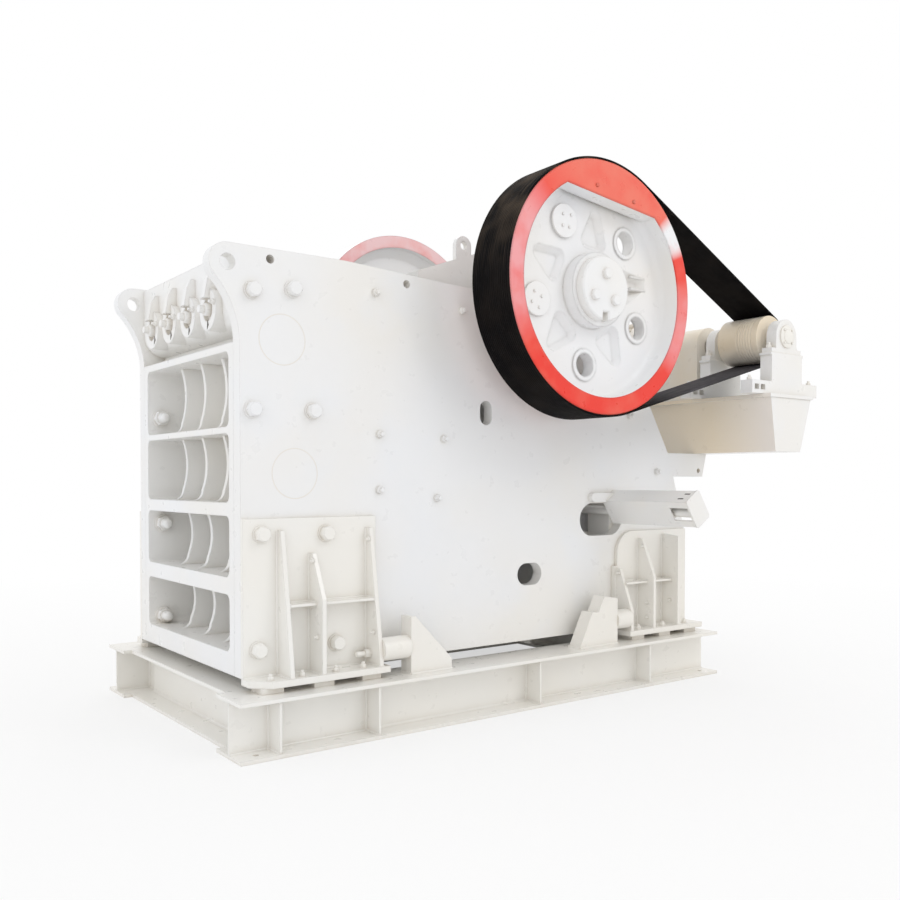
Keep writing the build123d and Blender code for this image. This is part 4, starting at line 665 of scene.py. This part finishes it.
FOOT_BOLT_Y = 0.895
OVER_FOOT = 0.40
FRONT_FOOT_BOLTS = (-1.60, -1.42, -1.22, -1.05)
REAR_FOOT_BOLTS = (1.15, 1.40, 1.63)
ivory = {"material": ivory_bolt_paint}


def rib_studs(name, node, places, side):
    starts = [(x - BEFORE_RIB, side * y, z) for x, y, z in places]
    bolts_on(name, node, starts, (1, 0, 0), **RIB_STUD, **ivory)


def foot_bolts(name, node, places, side):
    starts = [(x, side * FOOT_BOLT_Y, OVER_FOOT) for x in places]
    bolts_on(name, node, starts, (0, 0, -1), **FOOT_BOLT, **ivory)


def brackets(side_name, side):
    inward = (0, -side, 0)
    start = side * OUTSIDE
    front = f"front_bracket_{side_name}"
    rear = f"rear_bracket_{side_name}"
    bolts_on(f"bracket_bolts_{side_name}", front, from_front(BRACKET_BIG, start), inward, BIG, **ivory)
    bolts_on(f"rear_bracket_bolts_{side_name}", rear, [(x, start, z) for x, z in REAR_MIDDLE], inward,
             REAR_BOLT, **ivory)
    rib_studs(f"front_rib_studs_{side_name}", front, FRONT_RIB_STUDS, side)
    rib_studs(f"rear_rib_studs_{side_name}", rear, REAR_RIB_STUDS, side)
    bm = bmesh.new()
    tie = seat(front, Vector(TIE_PLACE) * Vector((1, side, 1)), (1, 0, 0))
    bolt(bm, tie, (-1, 0, 0), TIE_NUT, stud=TIE_END)
    bolt(bm, tie - Vector((TIE_END, 0, 0)), (-1, 0, 0), TIE_LOCK_NUT, head=TIE_LOCK_HEAD, washer=False)
    piece(f"tie_stud_{side_name}", bm, ivory_bolt_paint, "frame")
    foot_bolts(f"front_foot_bolts_{side_name}", front, FRONT_FOOT_BOLTS, side)
    foot_bolts(f"rear_foot_bolts_{side_name}", rear, REAR_FOOT_BOLTS, side)


for side_name, side in SIDES.items():
    brackets(side_name, side)

# Front casting: domed nuts inside its side walls, nuts in the bosses' pockets, and painted shade in the
# bosses' notches
INNER_WALL = 0.620
NUT_PLACES = ((-1.620, 1.775), (-1.608, 1.112), (-1.608, 0.526))
DOME = ((0.055, 0, 0), (0.055, 0.006, 0), (0.053, 0.008, 0), (0.048, 0.008, 0.083), (0.048, 0.046, 0.083),
        (0.044, 0.052, 0), (0.034, 0.052, 0), (0.034, 0.058, 0), (0.034, 0.085, 0.058), (0.031, 0.090, 0),
        (0.024, 0.104, 0), (0.012, 0.111, 0))
BEFORE_FRONT = -1.85
BOSS_YS = (0.435, 0.145, -0.145, -0.435)
BOSS_DROP = 0.292
BOSS_NUT = 0.066
BOSS_NUT_STUD = 0.030
BOSS_STUD = 0.026
BOSS_STUD_END = 0.014
BOSS_STUD_ASIDE = 0.088
BOSS_STUD_UP = 0.030
# Painted shade in the bosses' notches: where each sits, and its corners and depths
NOTCHES = ((0.112, 2.227), (-0.169, 2.219), (-0.435, 2.216), (0.385, 2.232))
NOTCH_CORNERS = ((0.000, 0.024), (-0.014, -0.002), (0.006, -0.026))
NOTCH_XS = (0.001, -0.0015)


def front_nuts(side_name, side):
    bm = bmesh.new()
    for x, z in NUT_PLACES:
        lathe(bm, facing((x, side * INNER_WALL, z), (0, -side, 0), random.uniform(0, tau)), DOME)
    piece(f"front_nuts_{side_name}", bm, bolt_paint, "frame")


def front_bosses():
    height = PLATE_TOP - BOSS_DROP
    inward = (1, 0, 0)
    bolts_on("boss_nuts", "front_frame", [(BEFORE_FRONT, y, height) for y in BOSS_YS], inward, BOSS_NUT,
             stud=BOSS_NUT_STUD)
    asides = [(BEFORE_FRONT, y - BOSS_STUD_ASIDE, height + BOSS_STUD_UP) for y in BOSS_YS]
    bolts_on("boss_studs", "front_frame", asides, inward, BOSS_STUD, stud=BOSS_STUD_END)
    # Painted shade: thin dark triangles on the bosses where their notches lie in shade
    bm = bmesh.new()
    for y, z in NOTCHES:
        place = seat("front_frame", (BEFORE_FRONT, y, z), inward)
        rings = [[bm.verts.new(place + Vector((x, a, b))) for a, b in NOTCH_CORNERS] for x in NOTCH_XS]
        join_rings(bm, rings)
    piece("boss_notch_shades", bm, seam_shade, "frame")


for side_name, side in SIDES.items():
    front_nuts(side_name, side)
front_bosses()

# The belt, ribbed along its back
BELT_RIBS = 20
RIB_GROOVE = 0.0028
RIB_FOOT = 0.04
RIB_SHOULDER = 0.16
BELT_GAP = 0.0003
BELT_SHARP = 28
WHEEL_STEPS = 112
PULLEY_STEPS = 40
belt_low, belt_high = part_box("drive_belt")
wheel_reach = WHEEL_RADIUS + BELT_GAP
pulley_reach = PULLEY_RADIUS + BELT_GAP
belt_thick = SHAFT.x - belt_low.x - wheel_reach


def belt_path():
    """Stations (centre, inner radius, outward angle) round the wheel and the pulley."""
    span = MOTOR - SHAFT
    along = atan2(span.z, span.x)
    lean = acos((wheel_reach - pulley_reach) / hypot(span.x, span.z))
    stations = []
    for centre, radius, start, end, steps in (
            (SHAFT, wheel_reach, along + lean, along - lean + tau, WHEEL_STEPS),
            (MOTOR, pulley_reach, along - lean, along + lean, PULLEY_STEPS)):
        for step in range(steps + 1):
            stations.append((centre, radius, start + (end - start) * step / steps))
    return stations


def ribbed_belt():
    bm = bmesh.new()
    pitch = (belt_high.y - belt_low.y) / BELT_RIBS
    section = [(belt_high.y, 0.0), (belt_low.y, 0.0)]
    for index in range(BELT_RIBS):
        start = belt_low.y + index * pitch
        for share, rise in ((RIB_FOOT, belt_thick - RIB_GROOVE), (RIB_SHOULDER, belt_thick),
                            (1 - RIB_SHOULDER, belt_thick), (1 - RIB_FOOT, belt_thick - RIB_GROOVE)):
            section.append((start + pitch * share, rise))
    rings = []
    for centre, radius, angle in belt_path():
        out = Vector((cos(angle), 0, sin(angle)))
        rings.append([bm.verts.new(Vector((centre.x, y, centre.z)) + out * (radius + rise))
                      for y, rise in section])
    join_rings(bm, rings, True)
    belt = piece("ribbed_belt", bm, belt_rubber, "frame", BELT_SHARP)
    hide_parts("drive_belt")


ribbed_belt()

# Flywheels: hub bolts, cover screws, small ribs, and the counterweight's screws and a painted shadow line at
# its seam
WHEEL_OUTSIDE = 1.5
HUB_BOLT = {"flats": 0.060, "head": 0.42, "washer": False}
HUB_BOLTS = ((0.442, 2.630), (0.344, 2.492), (0.514, 2.476))
COVER_SCREW = {"flats": 0.014, "head": 0.5}
COVER_SCREWS = ((0.196, 2.973), (0.262, 2.976), (0.194, 2.904), (0.248, 2.902),
                (-0.030, 2.488), (0.027, 2.463), (-0.050, 2.425), (0.005, 2.396))
WEIGHT_SCREW = {"flats": 0.024, "head": 0.25, "washer": False}
WEIGHT_SCREWS = ((0.362, 3.144), (0.680, 3.100))
WEIGHT_PLUG = {"flats": 0.022, "head": 0.2, "washer": False}
WEIGHT_UNDER = ((0.391, 3.02), (0.645, 2.99))
WEIGHT_UNDER_Y = 1.204
WEIGHT_ANGLE = radians(83.5)
WEIGHT_CHORD = 0.538
# The painted shadow line along the counterweight's corner
SHADOW_LINE_HALF = 0.345
SHADOW_LINE_LEG = 0.012
SHADOW_LINE_UNDER = 0.0005
BELOW_CHORD = 0.05
# The web's small ribs: height, and where each starts and ends along X
WEB_RIBS = ((2.681, 0.800, 0.940), (2.606, 0.805, 0.945))
WEB_RIB_WIDE = 0.016
WEB_RIB_CHAMFER = 0.003
WEB_RIB_LEAST = 0.004
WEB_RIB_RISE = 0.006
WEB_RIB_TIP = 0.01


def web_rib(bm, wheel, z, first, last, side):
    """A rib from the web to the rim, as deep as the fillet that it runs into."""
    middle = (first + last) / 2
    inward = (0, -side, 0)
    foot = seat(wheel, (middle, side * WHEEL_OUTSIDE, z), inward).y
    end_foot = seat(wheel, (last - WEB_RIB_TIP, side * WHEEL_OUTSIDE, z), inward).y
    depth = max(abs(foot - end_foot), WEB_RIB_LEAST) + WEB_RIB_RISE
    lower = min(foot, end_foot, key=abs)
    base = Matrix(((1, 0, 0, middle), (0, 0, side, lower), (0, 1, 0, z), (0, 0, 0, 1)))
    bar(bm, base, last - first, WEB_RIB_WIDE, depth, WEB_RIB_CHAMFER)


def counterweight_shadow_line(bm, wheel, side):
    """A painted shadow: the dark line where the counterweight's flat edge meets the web."""
    normal = Vector((cos(WEIGHT_ANGLE), 0, sin(WEIGHT_ANGLE)))
    along = Vector((sin(WEIGHT_ANGLE), 0, -cos(WEIGHT_ANGLE)))
    corner = Vector((SHAFT.x, 0, SHAFT.z)) + normal * (WEIGHT_CHORD - SHADOW_LINE_UNDER)
    start = corner - normal * BELOW_CHORD + Vector((0, side * WHEEL_OUTSIDE, 0))
    corner.y = seat(wheel, start, (0, -side, 0)).y
    run(bm, corner - along * SHADOW_LINE_HALF, corner + along * SHADOW_LINE_HALF, -normal, Vector((0, side, 0)), SHADOW_LINE_LEG,
        BEAD, 0)


def flywheel(side_name, side):
    wheel = "drive_flywheel" if side == NEAR else "balance_flywheel"
    inward = (0, -side, 0)
    under = (cos(WEIGHT_ANGLE), 0, sin(WEIGHT_ANGLE))
    for name, node, places, start, way, shape in (
            ("hub_bolts", "hub_covers", HUB_BOLTS, WHEEL_OUTSIDE, inward, HUB_BOLT),
            ("cover_screws", "wheel_covers", COVER_SCREWS, WHEEL_OUTSIDE, inward, COVER_SCREW),
            ("counterweight_screws", wheel, WEIGHT_SCREWS, WHEEL_OUTSIDE, inward, WEIGHT_SCREW),
            ("counterweight_plugs", wheel, WEIGHT_UNDER, WEIGHT_UNDER_Y, under, WEIGHT_PLUG)):
        red = {"material": wheel_paint, "slot": "wheel_paint"} if name == "counterweight_screws" else {}
        starts = [(x, side * start, z) for x, z in places]
        bolts_on(f"{name}_{side_name}", node, starts, way, body="main_shaft", **shape, **red)
    bm = bmesh.new()
    for z, first, last in WEB_RIBS:
        web_rib(bm, wheel, z, first, last, side)
    piece(f"web_ribs_{side_name}", bm, wheel_paint, "main_shaft")
    # A dark strip painted as the shadow in the counterweight's corner
    bm = bmesh.new()
    counterweight_shadow_line(bm, wheel, side)
    piece(f"counterweight_shadow_line_{side_name}", bm, seam_shade, "main_shaft")


for side_name, side in SIDES.items():
    flywheel(side_name, side)

# Bearing housings: ring of cap bolts behind each wheel
CAP_BOLT = {"flats": 0.024, "head": 0.42, "washer": False}
CAP_BOLT_COUNT = 10
CAP_BOLT_RADIUS = 0.205
CAP_OUTSIDE = 0.93
for side_name, side in SIDES.items():
    turns = [tau * (step + 0.5) / CAP_BOLT_COUNT for step in range(CAP_BOLT_COUNT)]
    starts = round_shaft(CAP_BOLT_RADIUS, turns, side * CAP_OUTSIDE)
    bolts_on(f"housing_bolts_{side_name}", f"bearing_housing_{side_name}", starts, (0, -side, 0), **CAP_BOLT)

# Motor pulley's bearings and their stands
STAND_YS = (-1.354, -0.840)
BLOCK_BOLT = {"flats": 0.034, "stud": 0.018}
BLOCK_BOLT_X = 0.148
OVER_BLOCK = 0.02
RAIL_BOLT = {"flats": 0.03, "stud": 0.014}
RAIL_BOLT_XS = (1.735, 2.435)
OVER_RAIL = 2.12
END_COVER = ((0.078, 0, 0), (0.078, 0.010, 0), (0.074, 0.013, 0), (0.050, 0.014, 0), (0.046, 0.020, 0),
             (0.030, 0.024, 0), (0.012, 0.025, 0))
END_COVER_SIDES = 40
BESIDE_SHAFT = 0.07
STANDS_OUTSIDE = -1.6
END_SCREW = 0.014
END_SCREW_RADIUS = 0.063
END_SCREW_OUT = 0.012
END_SCREW_ANGLES = (45, 135, 225, 315)


def pulley_bearings():
    feet = [(MOTOR.x + x, y, MOTOR.z + OVER_BLOCK) for y in STAND_YS for x in (-BLOCK_BOLT_X, BLOCK_BOLT_X)]
    bolts_on("block_bolts", "bearing_pedestals", feet, (0, 0, -1), **BLOCK_BOLT, **ivory)
    rails = [(x, y, OVER_RAIL) for y in STAND_YS for x in RAIL_BOLT_XS]
    bolts_on("rail_bolts", "bearing_pedestals", rails, (0, 0, -1), **RAIL_BOLT, **ivory)
    bm = bmesh.new()
    out = (0, -1, 0)
    foot = seat("bearing_pedestals", (MOTOR.x + BESIDE_SHAFT, STANDS_OUTSIDE, MOTOR.z), (0, 1, 0))
    foot.x = MOTOR.x
    lathe(bm, facing(foot, out), END_COVER, END_COVER_SIDES)
    angles = [radians(angle) for angle in END_SCREW_ANGLES]
    for place in round_shaft(END_SCREW_RADIUS, angles, foot.y - END_SCREW_OUT, MOTOR):
        bolt(bm, place, out, END_SCREW)
    piece("bearing_end_cover", bm, ivory_bolt_paint, "frame")


pulley_bearings()

# Coupling guard's bolts, and the motor's bolts, lifting eye and cowl grille
GUARD_BOLT = 0.022
BEFORE_GUARD = (1.90, 2.03)
GUARD_BOLT_YS = (-0.70, -0.50, -0.30)
SHIELD_BOLT = 0.024
SHIELD_RADIUS = 0.235
SHIELD_ANGLES = (30, 90, 150, 210, 330)
BEFORE_SHIELD = -0.30
MOTOR_FOOT = {"flats": 0.036, "stud": 0.016}
MOTOR_MIDDLE_Y = 0.285
MOTOR_FOOT_X = 0.185
MOTOR_FOOT_Y = 0.27
OVER_MOTOR_FOOT = 2.05
OVER_MOTOR = 3.0
EYE_COLLAR = ((0.026, 0, 0), (0.026, 0.010, 0), (0.018, 0.016, 0), (0.014, 0.024, 0))
EYE_COLLAR_SIDES = 24
EYE = {"radius": 0.026, "thick": 0.008, "rise": 0, "sides": 28, "thick_sides": 10}
EYE_UP = 0.046
BEHIND_MOTOR = 1.2
COWL_ASIDE = 0.1
GRILLE_RINGS = 11
GRILLE_FIRST = 0.030
GRILLE_PITCH = 0.017
GRILLE_RING = {"thick": 0.0028, "rise": 0.003, "sides": 48, "thick_sides": 8}
GRILLE_SPOKES = 6
SPOKE_MIDDLE = (0.113, 0, 0.002)
SPOKE = (0.178, 0.008, 0.004, 0.001)
COWL_SHADE = ((0.206, -0.001, 0), (0.206, 0.0008, 0), (0.200, 0.0014, 0), (0.030, 0.0014, 0),
              (0.026, 0.0008, 0))
COWL_SIDES = 64


def motor_eyebolt():
    bm = bmesh.new()
    top = seat("motor", (MOTOR.x, MOTOR_MIDDLE_Y, OVER_MOTOR), (0, 0, -1))
    lathe(bm, facing(top, (0, 0, 1)), EYE_COLLAR, EYE_COLLAR_SIDES)
    hoop(bm, facing(top + Vector((0, 0, EYE_UP)), (1, 0, 0)), **EYE)
    piece("motor_eyebolt", bm, ivory_bolt_paint, "frame")


def motor_cowl():
    cowl = seat("motor", (MOTOR.x + COWL_ASIDE, BEHIND_MOTOR, MOTOR.z), (0, -1, 0))
    cowl.x = MOTOR.x
    out = (0, 1, 0)
    bm = bmesh.new()
    for step in range(GRILLE_RINGS):
        hoop(bm, facing(cowl, out), GRILLE_FIRST + GRILLE_PITCH * step, **GRILLE_RING)
    for step in range(GRILLE_SPOKES):
        matrix = facing(cowl, out, tau * step / GRILLE_SPOKES) @ Matrix.Translation(SPOKE_MIDDLE)
        bar(bm, matrix, *SPOKE)
    piece("motor_cowl_grille", bm, motor_paint, "frame")
    bm = bmesh.new()
    lathe(bm, facing(cowl, out), COWL_SHADE, COWL_SIDES)
    piece("motor_cowl_shade", bm, seam_shade, "frame")


guard = [(BEFORE_GUARD[0], y, BEFORE_GUARD[1]) for y in GUARD_BOLT_YS]
bolts_on("guard_bolts", "coupling_guard", guard, (1, 0, 0), GUARD_BOLT, **ivory)
shield = round_shaft(SHIELD_RADIUS, [radians(angle) for angle in SHIELD_ANGLES], BEFORE_SHIELD, MOTOR)
bolts_on("motor_shield_bolts", "motor", shield, (0, 1, 0), SHIELD_BOLT, **ivory)
feet = [(MOTOR.x + x, MOTOR_MIDDLE_Y + y, OVER_MOTOR_FOOT)
        for x in (-MOTOR_FOOT_X, MOTOR_FOOT_X) for y in (-MOTOR_FOOT_Y, MOTOR_FOOT_Y)]
bolts_on("motor_foot_bolts", "motor", feet, (0, 0, -1), **MOTOR_FOOT, **ivory)
motor_eyebolt()
motor_cowl()

# Wedge covers: slots in their upper face, drawn as thin dark bars of painted shade
SLOT_PLACES = ((0.963, 1.405), (1.006, 1.425))
OVER_COVER = 1.6
SLOT_LEAN = Vector((-0.56, 0, 0.83)).normalized()
SLOT = (0.042, 0.009, 0.0012, 0.0004)


def cover_slot_shades(side_name, side):
    across = SLOT_LEAN.cross(Vector((0, 1, 0)))
    turn = Matrix((Vector((0, 1, 0)), across, SLOT_LEAN)).transposed().to_4x4()
    bm = bmesh.new()
    for x, y in SLOT_PLACES:
        place = seat(f"wedge_cover_{side_name}", (x, side * y, OVER_COVER), (0, 0, -1))
        # Painted shade: a dark bar where the slot's inside is in shade
        bar(bm, Matrix.Translation(place) @ turn, *SLOT)
    piece(f"cover_slot_shades_{side_name}", bm, seam_shade, "frame")


for side_name, side in SIDES.items():
    cover_slot_shades(side_name, side)

# Floor, light and camera
FLOOR_RADIUS = 40
FLOOR_TONE = (0.90, 0.90, 0.90, 1)
FLOOR_NEAR = 2.5
FLOOR_WHITE = 8.5
FLOOR_SHARE = 0.62
BACKDROP = (1, 1, 1, 1)
WORLD_LIGHT = 0.96
LAMPS_AIM = Vector((0, 0, 1.4))
# Each lamp's name, place, size, power and colour
LAMPS = (("key", (3.5, -7.5, 7.5), 3.5, 85, (1.0, 1.0, 1.0)),
         ("side", (-6.5, -6.0, 4.0), 5.0, 30, (0.98, 0.99, 1.0)),
         ("back", (4.0, 7.0, 6.0), 5.0, 70, (1.0, 0.99, 0.98)),
         ("front", (-9.0, 2.0, 3.5), 4.0, 28, (0.84, 0.92, 1.0)))
CAMERA_AT = (-3.694, -5.220, 1.383)
CAMERA_YAW = 36.78
CAMERA_PITCH = -1.214
CAMERA_SENSOR = 36
CAMERA_LENS = 37.28
CAMERA_SHIFT = 50 / 900


def backdrop_rays(tree):
    """1 for the rays that see the white backdrop: the camera's, and those in gloss and glass."""
    ways = tree.add("ShaderNodeLightPath").outputs
    seen = tree.maths("MAXIMUM", ways["Is Camera Ray"], ways["Is Glossy Ray"])
    return tree.maths("MAXIMUM", seen, ways["Is Transmission Ray"])


def studio_floor():
    """A pale floor that keeps the shadow and turns white away from the object."""
    bm = bmesh.new()
    bmesh.ops.create_circle(bm, cap_ends=True, segments=96, radius=FLOOR_RADIUS)
    mesh = bpy.data.meshes.new("floor")
    bm.to_mesh(mesh)
    bm.free()
    floor = bpy.data.objects.new("floor", mesh)
    bpy.context.scene.collection.objects.link(floor)
    tree = paint_tree("floor")
    lit = tree.add("ShaderNodeBsdfDiffuse", {"Color": FLOOR_TONE})
    pale = tree.add("ShaderNodeEmission", {"Color": BACKDROP, "Strength": 1.0})
    reach = tree.vector("LENGTH", tree.place(), output="Value")
    away = tree.ramp(reach, FLOOR_NEAR, FLOOR_WHITE, FLOOR_SHARE, 1.0)
    share = tree.maths("MULTIPLY", backdrop_rays(tree), away)
    blend = tree.add("ShaderNodeMixShader", {0: share, 1: lit.outputs[0], 2: pale.outputs[0]})
    tree.add("ShaderNodeOutputMaterial", {"Surface": blend.outputs[0]})
    mesh.materials.append(tree.owner)


def studio_world():
    tree = Tree(bpy.data.worlds.new("studio"))
    soft = tree.add("ShaderNodeBackground", {"Color": BACKDROP, "Strength": WORLD_LIGHT})
    white = tree.add("ShaderNodeBackground", {"Color": BACKDROP, "Strength": 1.0})
    blend = tree.add("ShaderNodeMixShader", {0: backdrop_rays(tree), 1: soft.outputs[0], 2: white.outputs[0]})
    tree.add("ShaderNodeOutputWorld", {"Surface": blend.outputs[0]})
    bpy.context.scene.world = tree.owner


def studio_lamps():
    for name, place, size, power, colour in LAMPS:
        light = bpy.data.lights.new(name, "AREA")
        light.shape = "DISK"
        light.size = size
        light.energy = power
        light.color = colour
        lamp = bpy.data.objects.new(name, light)
        lamp.location = place
        lamp.rotation_euler = (LAMPS_AIM - Vector(place)).to_track_quat("-Z", "Y").to_euler()
        bpy.context.scene.collection.objects.link(lamp)


def photograph_camera():
    data = bpy.data.cameras.new("camera")
    data.sensor_width = CAMERA_SENSOR
    data.lens = CAMERA_LENS
    data.shift_y = CAMERA_SHIFT
    camera = bpy.data.objects.new("camera", data)
    camera.location = CAMERA_AT
    camera.rotation_euler = (radians(90 + CAMERA_PITCH), 0, radians(-CAMERA_YAW))
    bpy.context.scene.collection.objects.link(camera)
    bpy.context.scene.camera = camera


studio_floor()
studio_world()
studio_lamps()
photograph_camera()
bpy.context.scene.view_settings.view_transform = "Standard"
